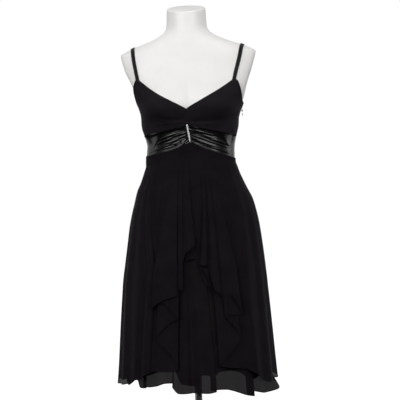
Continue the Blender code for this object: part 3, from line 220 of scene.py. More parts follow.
# ---- meshes
class Stock:
    """Points and faces gathered for one mesh, with a place on the cloth for each corner."""

    def __init__(self) -> None:
        """Starts with nothing."""
        self.points: list[Grid] = []
        self.faces: list[Grid] = []
        self.places: list[Grid] = []
        self.total = 0

    def add(self, points: Grid) -> int:
        """Adds points.

        Args:
            points: any grid of them.

        Returns:
            The number of the first.
        """
        start = self.total
        self.points.append(points.reshape(-1, 3))
        self.total += len(self.points[-1])
        return start

    def face(self, corners: Grid, places: Grid) -> None:
        """Adds faces, one row of corner numbers each, with their places on the cloth."""
        self.faces.append(corners)
        self.places.append(places)

    def grid(self, points: Grid, places: Grid, around: bool = False, turned: bool = False,
             looped: bool = False) -> int:
        """Adds a grid of points as quads.

        Args:
            points: rows x columns x 3.
            places: rows x columns x 2, with one more of each where the grid closes.
            around: whether the last column joins the first.
            turned: whether the faces point the other way.
            looped: whether the last row joins the first.

        Returns:
            The number of the grid's first point.
        """
        rows, columns = points.shape[:2]
        start = self.add(points)
        down = np.arange(rows if looped else rows - 1)[:, None] * columns
        across = np.arange(columns if around else columns - 1)[None, :]
        below, after = (down + columns) % (rows * columns), (across + 1) % columns
        corners = np.stack([down + across, down + after, below + after, below + across], -1)
        count, high = across.size, down.size
        left, right = places[:high + 1, :count], places[:high + 1, 1:count + 1]
        spots = np.stack([left[:-1], right[:-1], right[1:], left[1:]], axis=2)
        if turned:
            corners, spots = corners[..., ::-1], spots[:, :, ::-1]
        self.face(corners.reshape(-1, 4) + start, spots.reshape(-1, 4, 2))
        return start

    def fan(self, ring: Grid, middle: Grid, turned: bool = False) -> None:
        """Closes a ring of point numbers with triangles round a middle point.

        Args:
            ring: point numbers, in order.
            middle: the middle point.
            turned: whether the faces point the other way.
        """
        centre = self.add(middle[None, :])
        following = np.roll(ring, -1)
        corners = np.stack([np.full_like(ring, centre), following, ring], axis=-1)
        if turned:
            corners = corners[:, ::-1]
        self.face(corners, np.zeros((len(ring), 3, 2)))

    def tube(self, rings: Grid) -> "Stock":
        """Adds a closed tube: a grid that joins round, with a fan at each end.

        Its faces point outwards: they are turned where the rings run clockwise
        about the way that they are carried, by the sum of their areas along it.

        Args:
            rings: rings x points x 3.

        Returns:
            This stock.
        """
        rows, columns = rings.shape[:2]
        middles = rings.mean(axis=1, keepdims=True)
        spokes = rings - middles
        area = np.cross(spokes, np.roll(spokes, -1, axis=1)).sum(axis=1)
        turned = bool(np.sum(area[:-1] * np.diff(middles[:, 0], axis=0)) < 0)
        closed = np.concatenate([rings, rings[:, :1]], axis=1)
        places = np.stack([lengths(closed, 1), lengths(closed, 0)], axis=-1)
        start = self.grid(rings, places, around=True, turned=turned)
        last = start + (rows - 1) * columns
        self.fan(start + np.arange(columns), rings[0].mean(axis=0), turned)
        self.fan(last + np.arange(columns), rings[-1].mean(axis=0), not turned)
        return self

    def piece(self, name: str, sharp: float = 40.0) -> Object:
        """Makes the object, shaded smooth but for its sharp edges.

        Args:
            name: the piece's name.
            sharp: the least angle of a sharp edge, in degrees.

        Returns:
            The object, in the scene.
        """
        mesh = bpy.data.meshes.new(name)
        points = np.concatenate(self.points).astype(np.float32)
        corners = np.concatenate([faces.ravel() for faces in self.faces]).astype(np.int32)
        sizes = np.concatenate([np.full(len(f), f.shape[1]) for f in self.faces])
        places = np.concatenate([spots.reshape(-1, 2) for spots in self.places])
        mesh.vertices.add(len(points))
        mesh.vertices.foreach_set("co", points.ravel())
        mesh.loops.add(len(corners))
        mesh.loops.foreach_set("vertex_index", corners)
        mesh.polygons.add(len(sizes))
        mesh.polygons.foreach_set("loop_start", (np.cumsum(sizes) - sizes).astype(np.int32))
        layer = mesh.uv_layers.new(name=CLOTH_MAP)
        mesh.update(calc_edges=True)
        layer.data.foreach_set("uv", places.astype(np.float32).ravel())
        mesh.validate()
        mesh.shade_smooth()
        mesh.set_sharp_from_angle(angle=math.radians(sharp))
        made = bpy.data.objects.new(name, mesh)
        bpy.context.scene.collection.objects.link(made)
        return made


def outward_of(middle: Grid) -> Grid:
    """Unit normals of a sheet that hangs around the form, pointing away from it.

    They are the cross product of the sheet's two tangents, turned as one so that
    most of them point away from the axis.

    Args:
        middle: rows x columns x 3.

    Returns:
        A normal for each point.
    """
    across, down = np.gradient(middle, axis=1), np.gradient(middle, axis=0)
    normal = unit(np.cross(down, across))
    away = np.sum(normal[..., :2] * middle[..., :2])
    return normal if away > 0 else -normal


def shell(name: str, middle: Grid, thickness: float, width_row: int = -1) -> Object:
    """A sheet of cloth as a closed thin shell.

    Both faces lie half the thickness from the middle along its normal, and a rim
    of quads joins them round the edge.

    Args:
        name: the piece's name.
        middle: rows x columns x 3, the rows running down the cloth.
        thickness: of the cloth.
        width_row: the row that gives the cloth's width to its map.

    Returns:
        The piece.
    """
    normal = outward_of(middle)
    outer, inner = middle + normal * thickness / 2, middle - normal * thickness / 2
    rows, columns = middle.shape[:2]
    across = np.broadcast_to(lengths(middle[width_row], 0)[None, :], (rows, columns))
    places = np.stack([across, -lengths(middle, 0)], axis=-1)
    first = np.cross(middle[0, 1] - middle[0, 0], middle[1, 0] - middle[0, 0])
    turned = bool(np.dot(first, normal[0, 0]) < 0)
    stock = Stock()
    start = stock.grid(outer, places, turned=turned)
    behind = stock.grid(inner, places, turned=not turned)
    border = np.concatenate([
        np.arange(columns),
        np.arange(1, rows) * columns + columns - 1,
        (rows - 1) * columns + np.arange(columns - 2, -1, -1),
        np.arange(rows - 2, 0, -1) * columns,
    ])
    after = np.roll(border, -1)
    rim = np.stack([after + start, border + start, border + behind, after + behind], axis=-1)
    spots = places.reshape(-1, 2)
    around = np.stack([spots[after], spots[border], spots[border], spots[after]], axis=1)
    stock.face(rim[:, ::-1] if turned else rim, around[:, ::-1] if turned else around)
    return stock.piece(name)


def profile_oval(half_width: float, half_depth: float, sides: int, power: float = 2.0) -> Grid:
    """A superellipse's points as (across, out) pairs, running round once.

    Args:
        half_width, half_depth: its reach across and out.
        sides: how many points.
        power: 2 for an ellipse, more for a squarer one.

    Returns:
        sides x 2.
    """
    turn = np.linspace(0, TURN, sides, endpoint=False)
    cosine, sine = np.cos(turn), np.sin(turn)
    across = np.sign(cosine) * np.abs(cosine) ** (2 / power) * half_width
    out = np.sign(sine) * np.abs(sine) ** (2 / power) * half_depth
    return np.stack([across, out], axis=-1)


def disc(radius: float, sides: int) -> Grid:
    """A circle's points as (across, out) pairs, running round once."""
    return profile_oval(radius, radius, sides)


def carried(path: Grid, out: Grid, profile: Grid) -> Grid:
    """Rings of a profile carried along a path.

    Each ring is the path's point, plus the profile's first number times the
    direction across the path, plus its second times the outward direction.

    Args:
        path: the points.
        out: the outward directions there.
        profile: one for all points, or one for each.

    Returns:
        points x sides x 3.
    """
    along = unit(np.gradient(path, axis=0))
    out = unit(out - along * np.sum(out * along, axis=-1, keepdims=True))
    across = np.cross(along, out)
    profile = np.broadcast_to(profile, (len(path), *profile.shape[-2:]))
    step = profile[..., :1] * across[:, None, :] + profile[..., 1:] * out[:, None, :]
    return path[:, None, :] + step


def turned(profile: Grid, segments: int) -> Grid:
    """Rings about Z, one for each (radius, height) row of the profile.

    Args:
        profile: rows of radius and height.
        segments: points in a ring.

    Returns:
        rows x segments x 3.
    """
    theta = np.linspace(0, TURN, segments, endpoint=False)[None, :]
    radius, height = profile[:, :1], profile[:, 1:]
    flat = np.broadcast_to(height, (len(profile), segments))
    return np.stack([radius * np.cos(theta), radius * np.sin(theta), flat], axis=-1)


# ---- finishes
class Nodes:
    """A tree of nodes, added and joined one at a time."""

    def __init__(self, owner: Material | bpy.types.World) -> None:
        """Starts with the nodes of a material or a world."""
        owner.use_nodes = True
        self.tree = owner.node_tree

    def feed(self, socket: Socket, value: object) -> None:
        """Joins another node's socket to this one, or sets its own value.

        Args:
            socket: an input.
            value: another node's output, or a plain value.
        """
        if isinstance(value, Socket):
            self.tree.links.new(value, socket)
        else:
            socket.default_value = value

    def node(self, kind: str, output: str | int, inputs: dict, **settings: object) -> Socket:
        """Adds a shader node and gives one of its outputs.

        Args:
            kind: its type, without the words that all of them start with.
            output: the output's name or number.
            inputs: sockets or values, by name or number.
            settings: its properties.

        Returns:
            The output.
        """
        made = self.tree.nodes.new("ShaderNode" + kind)
        for name, value in settings.items():
            setattr(made, name, value)
        for name, value in inputs.items():
            self.feed(made.inputs[name], value)
        return made.outputs[output]

    def math(self, operation: str, a: object, b: object) -> Socket:
        """What a named operation makes of two values."""
        return self.node("Math", 0, {0: a, 1: b}, operation=operation)


class Graph(Nodes):
    """A material's nodes, round one Principled shader."""

    def __init__(self, name: str) -> None:
        """Starts a new material.

        Args:
            name: its name.
        """
        self.material = bpy.data.materials.new(name)
        super().__init__(self.material)
        self.shader = self.tree.nodes["Principled BSDF"]

    def set(self, **values: object) -> None:
        """Sets the shader's sockets, whose names are written with underscores."""
        for name, value in values.items():
            self.feed(self.shader.inputs[name.replace("_", " ")], value)

    def cloth(self) -> Socket:
        """Places on the flat cloth, in metres."""
        return self.node("UVMap", "UV", {}, uv_map=CLOTH_MAP)

    def place(self) -> Socket:
        """Places in the object, in metres."""
        return self.node("TexCoord", "Object", {})

    def stretched(self, at: object, scale: Three, turn: float = 0.0) -> Socket:
        """Places scaled along each axis, and turned about Z by degrees."""
        inputs = {"Vector": at, "Scale": scale, "Rotation": (0, 0, math.radians(turn))}
        return self.node("Mapping", "Vector", inputs)

    def threads(self, at: object, axis: str, pitch: float) -> Socket:
        """Parallel threads as a sine wave across an axis, one for each pitch."""
        inputs = {"Vector": at, "Scale": TURN / 20 / pitch, "Distortion": 0.0}
        return self.node("TexWave", "Fac", inputs, bands_direction=axis)

    def noise(self, at: object, size: float, detail: float = 3.0) -> Socket:
        """Soft noise whose blots are about size metres wide."""
        inputs = {"Vector": at, "Scale": 1 / size, "Detail": detail, "Roughness": 0.5}
        return self.node("TexNoise", "Fac", inputs)

    def spread(self, value: object, low: float, high: float) -> Socket:
        """A value from about 0.3 to 0.7, as noise gives, spread from low to high."""
        inputs = {"Value": value, "From Min": 0.3, "From Max": 0.7, "To Min": low, "To Max": high}
        return self.node("MapRange", "Result", inputs)

    def tint(self, factor: object, low: Three, high: Three) -> Socket:
        """A colour between two, by a factor from 0.3 to 0.7.

        Args:
            factor: what mixes the colours.
            low, high: the colours at 0.3 and at 0.7.

        Returns:
            The colour.
        """
        color = self.node("ValToRGB", "Color", {"Fac": factor})
        for stop, place, tone in zip(color.node.color_ramp.elements, (0.3, 0.7), (low, high)):
            stop.position = place
            stop.color = (*tone, 1.0)
        return color

    def relief(self, *layers: tuple[object, float]) -> None:
        """Adds bumps, one on top of another.

        Args:
            layers: heights from 0 to 1, each with its depth in metres.
        """
        normal = None
        for height, depth in layers:
            inputs = {"Height": height, "Distance": depth, "Strength": 1.0}
            if normal is not None:
                inputs["Normal"] = normal
            normal = self.node("Bump", "Normal", inputs)
        self.set(Normal=normal)


@dataclass(frozen=True)
class Chiffon:
    """Crepe chiffon: twisted threads with fine gaps, and a dry crinkled hand."""

    name: str
    opacity: float = 1.0  # of one face of the shell; light passes two faces
    gaps: float = 0.0  # how much the weave varies the opacity
    dark: Three = (0.0034, 0.0023, 0.0035)
    pale: Three = (0.0066, 0.0046, 0.0067)
    thread_pitch: float = 0.00042
    thread_depth: float = 0.000011
    crinkle_size: float = 0.0032
    crinkle_depth: float = 0.00013
    roughness: float = 0.77
    specular: float = 0.12
    sheen: float = 0.045
    sheen_tint: Three = (1.0, 0.84, 1.0)
    sheen_roughness: float = 0.4
    blot_size: float = 0.045

    def material(self) -> Material:
        """Threads both ways set the gaps and a fine relief; noise crinkles the cloth.

        Returns:
            The material.
        """
        graph = Graph(self.name)
        cloth, place = graph.cloth(), graph.place()
        warp = graph.threads(cloth, "X", self.thread_pitch)
        weft = graph.threads(cloth, "Y", self.thread_pitch)
        weave = graph.math("MAXIMUM", warp, weft)
        crinkle = graph.noise(graph.stretched(cloth, (1.0, 0.45, 1.0)), self.crinkle_size, 4.0)
        blots = graph.noise(place, self.blot_size, 2.0)
        low, high = self.opacity - self.gaps * 2 / 3, self.opacity + self.gaps / 3
        inputs = {"Value": weave, "To Min": low, "To Max": high}
        graph.set(
            Base_Color=graph.tint(blots, self.dark, self.pale),
            Alpha=graph.node("MapRange", "Result", inputs),
            Roughness=graph.spread(crinkle, self.roughness - 0.08, self.roughness + 0.08),
            Specular_IOR_Level=self.specular,
            Sheen_Weight=self.sheen,
            Sheen_Roughness=self.sheen_roughness,
            Sheen_Tint=(*self.sheen_tint, 1.0),
        )
        graph.relief((crinkle, self.crinkle_depth), (weave, self.thread_depth))
        return graph.material


@dataclass(frozen=True)
class Satin:
    """Polyester satin: long floats across the cloth, and a soft broken gloss."""

    name: str = "satin_black"
    dark: Three = (0.0024, 0.0023, 0.0026)
    pale: Three = (0.0044, 0.0043, 0.0048)
    float_pitch: float = 0.00028
    float_depth: float = 0.0000008
    pucker_size: float = 0.016
    pucker_depth: float = 0.0003
    roughness: float = 0.24
    specular: float = 0.48
    slant: float = 24.0  # of the floats, in degrees
    patch_size: float = 0.006
    rib_pitch: float = 0.0011
    ribs: float = 0.0  # depth of cross ribs, for the straps

    def material(self) -> Material:
        """Slanted floats and puckers as relief; noise breaks up the gloss.

        Returns:
            The material.
        """
        graph = Graph(self.name)
        cloth = graph.cloth()
        slanted = graph.stretched(cloth, (1, 1, 1), self.slant)
        floats = graph.threads(slanted, "Y", self.float_pitch)
        pucker = graph.noise(graph.stretched(cloth, (0.55, 1.0, 1.0)), self.pucker_size, 2.0)
        patches = graph.noise(cloth, self.patch_size, 4.0)
        graph.set(
            Base_Color=graph.tint(patches, self.dark, self.pale),
            Roughness=graph.spread(patches, self.roughness - 0.04, self.roughness + 0.05),
            Specular_IOR_Level=self.specular,
        )
        layers = [(pucker, self.pucker_depth), (floats, self.float_depth)]
        if self.ribs:
            layers.append((graph.threads(cloth, "Y", self.rib_pitch), self.ribs))
        graph.relief(*layers)
        return graph.material


@dataclass(frozen=True)
class LiningCloth:
    """Opaque woven lining, smooth and dull."""

    name: str = "lining_black"
    dark: Three = (0.003, 0.0027, 0.0032)
    pale: Three = (0.0052, 0.0047, 0.0055)
    thread_pitch: float = 0.0003
    thread_depth: float = 0.000006
    blot_size: float = 0.02

    def material(self) -> Material:
        """Threads both ways as relief; noise varies colour and gloss.

        Returns:
            The material.
        """
        graph = Graph(self.name)
        cloth = graph.cloth()
        warp = graph.threads(cloth, "X", self.thread_pitch)
        weft = graph.threads(cloth, "Y", self.thread_pitch)
        blots = graph.noise(cloth, self.blot_size, 3.0)
        graph.set(
            Base_Color=graph.tint(blots, self.dark, self.pale),
            Roughness=graph.spread(blots, 0.48, 0.6),
            Specular_IOR_Level=0.12,
        )
        graph.relief((graph.math("MULTIPLY", warp, weft), self.thread_depth))
        return graph.material


@dataclass(frozen=True)
class FormShell:
    """The form's white moulded shell: even, softly shining, faintly handled."""

    name: str = "form_white"
    worn: Three = (0.8, 0.788, 0.776)
    clean: Three = (0.842, 0.832, 0.822)
    mark_size: float = 0.06
    skin_size: float = 0.0035
    skin_depth: float = 0.0001

    def material(self) -> Material:
        """Broad noise for handling marks, and fine noise for the moulded skin.

        Returns:
            The material.
        """
        graph = Graph(self.name)
        place = graph.place()
        marks = graph.noise(place, self.mark_size, 5.0)
        skin = graph.noise(place, self.skin_size, 2.0)
        graph.set(
            Base_Color=graph.tint(marks, self.worn, self.clean),
            Roughness=graph.spread(marks, 0.38, 0.3),
            Specular_IOR_Level=0.45,
        )
        graph.relief((skin, self.skin_depth))
        return graph.material


@dataclass(frozen=True)
class TurnedSteel:
    """Brushed steel: fine rings from turning, with a few dull patches."""

    name: str = "steel_brushed"
    dull: Three = (0.5, 0.5, 0.5)
    bright: Three = (0.66, 0.66, 0.67)
    stretch: Three = (1.0, 1.0, 60.0)
    ring_size: float = 0.03
    ring_depth: float = 0.000012
    patch_size: float = 0.05

    def material(self) -> Material:
        """Noise drawn out across the brushing for the rings, and broad noise for patches.

        Returns:
            The material.
        """
        graph = Graph(self.name)
        place = graph.place()
        rings = graph.noise(graph.stretched(place, self.stretch), self.ring_size, 3.0)
        patches = graph.noise(place, self.patch_size, 3.0)
        graph.set(
            Base_Color=graph.tint(rings, self.dull, self.bright),
            Metallic=1.0,
            Roughness=graph.spread(patches, 0.2, 0.36),
        )
        graph.relief((rings, self.ring_depth))
        return graph.material


@dataclass(frozen=True)
class CastMetal:
    """Small cast and plated metal: bright, with worn high spots."""

    name: str = "plated_metal"
    metallic: float = 1.0
    worn: Three = (0.58, 0.57, 0.56)
    bright: Three = (0.86, 0.86, 0.88)
    roughness: float = 0.18
    wear_size: float = 0.003
    grain_size: float = 0.0006
    grain_depth: float = 0.00002

    def material(self) -> Material:
        """Fine noise for the casting, coarser noise for wear in colour and gloss.

        Returns:
            The material.
        """
        graph = Graph(self.name)
        place = graph.place()
        wear = graph.noise(place, self.wear_size, 4.0)
        grain = graph.noise(place, self.grain_size, 2.0)
        graph.set(
            Base_Color=graph.tint(wear, self.worn, self.bright),
            Metallic=self.metallic,
            Roughness=graph.spread(wear, self.roughness + 0.1, self.roughness - 0.04),
        )
        graph.relief((grain, self.grain_depth))
        return graph.material


@dataclass(frozen=True)
class FoiledGlass:
    """Glass stones on a silver foil."""

    name: str = "diamante_stone"
    # deep to clear: the stone's colour, spread facet by facet by noise into painted glints
    deep: Three = (0.7, 0.72, 0.76)
    clear: Three = (0.98, 0.98, 1.0)
    glint_size: float = 0.0016

    def material(self) -> Material:
        """Small noise paints some facets lighter and some darker in colour, as painted glints, and
        varies their gloss.

        Returns:
            The material.
        """
        graph = Graph(self.name)
        glint = graph.noise(graph.place(), self.glint_size, 1.0)
        graph.set(
            # painted glints: the noise makes some facets lighter and some darker in colour
            Base_Color=graph.tint(glint, self.deep, self.clear),
            Metallic=0.1,
            Roughness=graph.spread(glint, 0.1, 0.04),
            Coat_Weight=1.0,
            Coat_Roughness=0.02,
        )
        return graph.material


def dress(piece: Object, material: Material, replaces: tuple[str, ...] = ()) -> Object:
    """Gives a piece its material, its body and the nodes it stands for.

    Args:
        piece: the object.
        material: what it gets.
        replaces: names of the nodes.

    Returns:
        The piece.
    """
    piece.data.materials.append(material)
    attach(piece, BODY)
    if replaces:
        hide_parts(*replaces)
    LOG.info("%s: %d faces", piece.name, len(piece.data.polygons))
    return piece


# ---- the form's surface
class FormSection(NamedTuple):
    """A level section of the form: an oval whose front and back differ."""

    z: float
    half: float
    front: float
    back: float
    shift: float
    centre: float
    power: float


class ArmCut(NamedTuple):
    """How far out the flat cuts of the arms lie at a height."""

    z: float
    right: float
    left: float
    rounding: float


FORM_SECTIONS = rows_of(
    FormSection,
    (0.6, 0.157, 0.104, 0.112, 0, 0, 2.2), (0.64, 0.16, 0.106, 0.116, 0, 0, 2.2),
    (0.69, 0.159, 0.106, 0.119, 0, 0, 2.2), (0.735, 0.1555, 0.103, 0.118, 0, 0, 2.2),
    (0.77, 0.149, 0.099, 0.113, 0, 0, 2.2), (0.8, 0.141, 0.095, 0.106, 0, 0, 2.2),
    (0.828, 0.1315, 0.092, 0.099, 0, 0, 2.2), (0.85, 0.124, 0.089, 0.094, 0.0005, 0, 2.2),
    (0.871, 0.117, 0.087, 0.09, 0.0007, 0, 2.2), (0.895, 0.1112, 0.085, 0.088, 0.0007, 0, 2.2),
    (0.922, 0.1098, 0.085, 0.088, 0.001, 0, 2.2), (0.945, 0.111, 0.087, 0.09, 0.0014, 0, 2.2),
    (0.965, 0.1148, 0.09, 0.094, 0.0017, 0, 2.2),
    (0.985, 0.1215, 0.094, 0.099, 0.0015, 0.001, 2.25),
    (1.005, 0.1264, 0.098, 0.103, 0.0018, 0.002, 2.3),
    (1.035, 0.1328, 0.102, 0.108, 0.004, 0.003, 2.3),
    (1.06, 0.143, 0.104, 0.111, 0.0045, 0.005, 2.3),
    (1.08, 0.158, 0.103, 0.112, 0.004, 0.006, 2.3), (1.1, 0.171, 0.101, 0.112, 0.0035, 0.007, 2.3),
    (1.12, 0.18, 0.096, 0.112, 0.0035, 0.008, 2.3), (1.15, 0.188, 0.087, 0.11, 0.0035, 0.01, 2.3),
    (1.175, 0.19, 0.078, 0.106, 0.0035, 0.011, 2.25),
    (1.192, 0.187, 0.071, 0.101, 0.0035, 0.012, 2.2),
    (1.2, 0.181, 0.068, 0.098, 0.0035, 0.012, 2.1), (1.209, 0.164, 0.065, 0.095, 0.0035, 0.012, 2),
    (1.219, 0.139, 0.062, 0.092, 0.0032, 0.012, 2), (1.229, 0.11, 0.058, 0.088, 0.0028, 0.012, 2),
    (1.2375, 0.09, 0.055, 0.085, 0.0024, 0.012, 2), (1.246, 0.0745, 0.052, 0.081, 0.002, 0.012, 2),
    (1.255, 0.0625, 0.05, 0.076, 0.0018, 0.012, 2), (1.266, 0.056, 0.048, 0.071, 0.0016, 0.011, 2),
    (1.28, 0.054, 0.047, 0.069, 0.0016, 0.01, 2), (1.33, 0.052, 0.045, 0.065, 0.0016, 0.01, 2),
)
ARM_CUTS = rows_of(
    ArmCut,
    (1.035, 0.133, 0.143, 0.004), (1.062, 0.1375, 0.147, 0.004), (1.087, 0.141, 0.1525, 0.0035),
    (1.108, 0.146, 0.1575, 0.0025), (1.122, 0.152, 0.1615, 0.0018), (1.152, 0.166, 0.172, 0.0012),
    (1.2, 0.1805, 0.1875, 0.0012),
)


class WaistRoom(NamedTuple):
    """How far the cloth stands off the form at each side of the waist, at a height."""

    z: float
    right: float
    left: float


WAIST_ROOM = rows_of(
    WaistRoom,
    (0.88, 0, 0), (0.905, 0.005, 0.0048), (0.918, 0.0052, 0.005), (0.932, 0.0039, 0.0047),
    (0.953, 0.001, 0.0045), (0.974, 0.001, 0.0045), (0.995, 0.0022, 0.004), (1.02, 0, 0),
)


def oval_radius(theta: Grid, half: Grid, front: Grid, back: Grid, power: Grid) -> Grid:
    """Distance to a superellipse: the powers of its two shares add up to one.

    Args:
        theta: bearings.
        half, front, back: its reach aside, ahead and behind.
        power: 2 for an ellipse, more for a squarer one.

    Returns:
        The distances.
    """
    depth = np.where(np.cos(theta) > 0, front, back)
    across = np.abs(np.sin(theta) / half) ** power
    along = np.abs(np.cos(theta) / depth) ** power
    return (across + along) ** (-1 / power)


@dataclass(frozen=True)
class FormSurface:
    """The form's skin, as a radius around its own centre line."""

    sections: tuple[FormSection, ...] = FORM_SECTIONS
    arm_cuts: tuple[ArmCut, ...] = ARM_CUTS
    bust_angle: float = math.radians(33)
    bust_spread: float = math.radians(25)
    bust_z: float = 1.047
    bust_above: float = 0.052
    bust_below: float = 0.03
    bust_depth: float = 0.0235
    cut_start: float = 0.02
    room: tuple[WaistRoom, ...] = WAIST_ROOM
    room_power: int = 4

    def radius(self, theta: Grid, z: Grid) -> Grid:
        """The radius at an angle and a height.

        A superellipse section, plus a bell of the bust's depth in height and
        angle, cut off where the arms' flat planes lie nearer.

        Args:
            theta, z: angles and heights.

        Returns:
            The radii.
        """
        theta, z = np.broadcast_arrays(theta, z)
        shift, centre = self.axis(z)
        radius = oval_radius(
            theta,
            column(self.sections, "half", z),
            column(self.sections, "front", z) + centre,
            column(self.sections, "back", z) - centre,
            column(self.sections, "power", z),
        )
        rise = (z - self.bust_z) / np.where(z > self.bust_z, self.bust_above, self.bust_below)
        facing = np.arctan2(np.sin(theta), np.cos(theta))
        aside = (np.abs(facing) - self.bust_angle) / self.bust_spread
        radius = radius + self.bust_depth * np.exp(-(rise**2) - aside**2)
        left = column(self.arm_cuts, "left", z) - shift
        right = column(self.arm_cuts, "right", z) + shift
        reach = np.where(np.sin(theta) > 0, left, right) / np.maximum(np.abs(np.sin(theta)), 0.05)
        rounding = column(self.arm_cuts, "rounding", z)
        share = ease((z - self.arm_cuts[0].z + self.cut_start) / self.cut_start)
        return radius + share * (smooth_least(radius, reach, rounding) - radius)

    def dressed(self, theta: Grid, z: Grid) -> Grid:
        """The radius that cloth lies on: the skin's, plus room times a power of the sine."""
        room = side_column(self.room, theta, z)
        return self.radius(theta, z) + room * np.sin(theta) ** self.room_power

    def axis(self, z: Grid) -> tuple[Grid, Grid]:
        """The centre line's x and y at a height."""
        return column(self.sections, "shift", z), column(self.sections, "centre", z)

    def points(self, theta: Grid, z: Grid, radius: Grid) -> Grid:
        """Points at a radius: the centre line's point plus the radius times the bearing.

        Args:
            theta, z, radius: angles, heights and radii.

        Returns:
            The points.
        """
        theta, z, radius = np.broadcast_arrays(theta, z, radius)
        x, y = self.axis(z)
        return np.stack([x + radius * np.sin(theta), y - radius * np.cos(theta), z], axis=-1)

    def outside(self, at: Grid) -> Grid:
        """How far points lie outside the skin, along their own radius.

        Args:
            at: points.

        Returns:
            The distances, negative inside.
        """
        x, y = self.axis(at[..., 2])
        across, along = at[..., 0] - x, at[..., 1] - y
        return np.hypot(across, along) - self.radius(np.arctan2(across, -along), at[..., 2])

    def outward(self, at: Grid, step: float = 0.0005) -> Grid:
        """Unit normals of the skin near points, by differences a step to either side."""
        slopes = [self.outside(at + way) - self.outside(at - way) for way in step * np.eye(3)]
        return unit(np.stack(slopes, axis=-1))


@dataclass(frozen=True)
class BandEdge:
    """An edge of the midriff band: a peak at the front join, level behind."""

    centre: float
    left: float
    right: float
    peak_x: float
    depth: float = 0.092

    def height(self, theta: Grid) -> Grid:
        """Height at an angle: the side's, plus a share of the peak that falls with the sine.

        Args:
            theta: angles.

        Returns:
            The heights.
        """
        side = between_sides(self.left, self.right, theta)
        aside = np.sin(theta - self.peak_x / self.depth)
        peak = np.where(np.cos(theta) > 0, 1 - np.abs(aside), 0.0)
        return side + (self.centre - side) * peak


BAND_TOP = BandEdge(0.999, 0.972, 0.977, -0.0022)
BAND_BOTTOM = BandEdge(0.953, 0.909, 0.9215, 0.0034)


def join_angle(z: Grid) -> Grid:
    """The angle of the leaning centre-front join, in step with the height."""
    share = np.clip((z - BAND_BOTTOM.centre) / (BAND_TOP.centre - BAND_BOTTOM.centre), 0, 1)
    return (BAND_BOTTOM.peak_x + (BAND_TOP.peak_x - BAND_BOTTOM.peak_x) * share) / BAND_TOP.depth


# ---- form and stand
@dataclass(frozen=True)
class DressForm:
    """The limbless torso, with flat arm cuts and a slanted neck cut."""

    surface: FormSurface
    columns: int = 180
    rows: int = 140
    neck_straight: float = 1.28
    neck_cut: float = 1.32
    neck_slant: float = 0.29
    lip: float = 0.004  # rounding of the neck's and the bottom's edges

    def build(self, finish: FormShell) -> None:
        """Builds the torso: rings of the skin, tilted at the neck, with rounded ends.

        Near each end the radius shrinks by a quarter circle of the lip's size, and a
        fan closes the flat cut.

        Args:
            finish: the shell's.
        """
        theta = np.linspace(0, TURN, self.columns, endpoint=False)[None, :]
        low, high = FORM_BOTTOM, self.neck_cut
        arc = np.sin(np.linspace(0, QUARTER, 6))[:, None]
        middle = np.linspace(low + self.lip, high - self.lip, self.rows)[:, None]
        z = np.concatenate([low + self.lip * (1 - arc[::-1]), middle[1:-1],
                            high - self.lip * (1 - arc)])
        shrink = np.concatenate([
            self.lip * (1 - np.sqrt(1 - arc[::-1] ** 2)),
            np.zeros((self.rows - 2, 1)),
            self.lip * (1 - np.sqrt(1 - arc**2)),
        ])
        rings = self.surface.points(theta, z, self.surface.radius(theta, z) - shrink)
        tilt = ease((z - self.neck_straight) / (self.neck_cut - self.neck_straight))
        rings[..., 2] += tilt * self.neck_slant * (rings[..., 1] - self.surface.axis(z)[1])
        piece = Stock().tube(rings).piece("form_torso_shell", sharp=50.0)
        dress(piece, finish.material(), ("form_torso",))


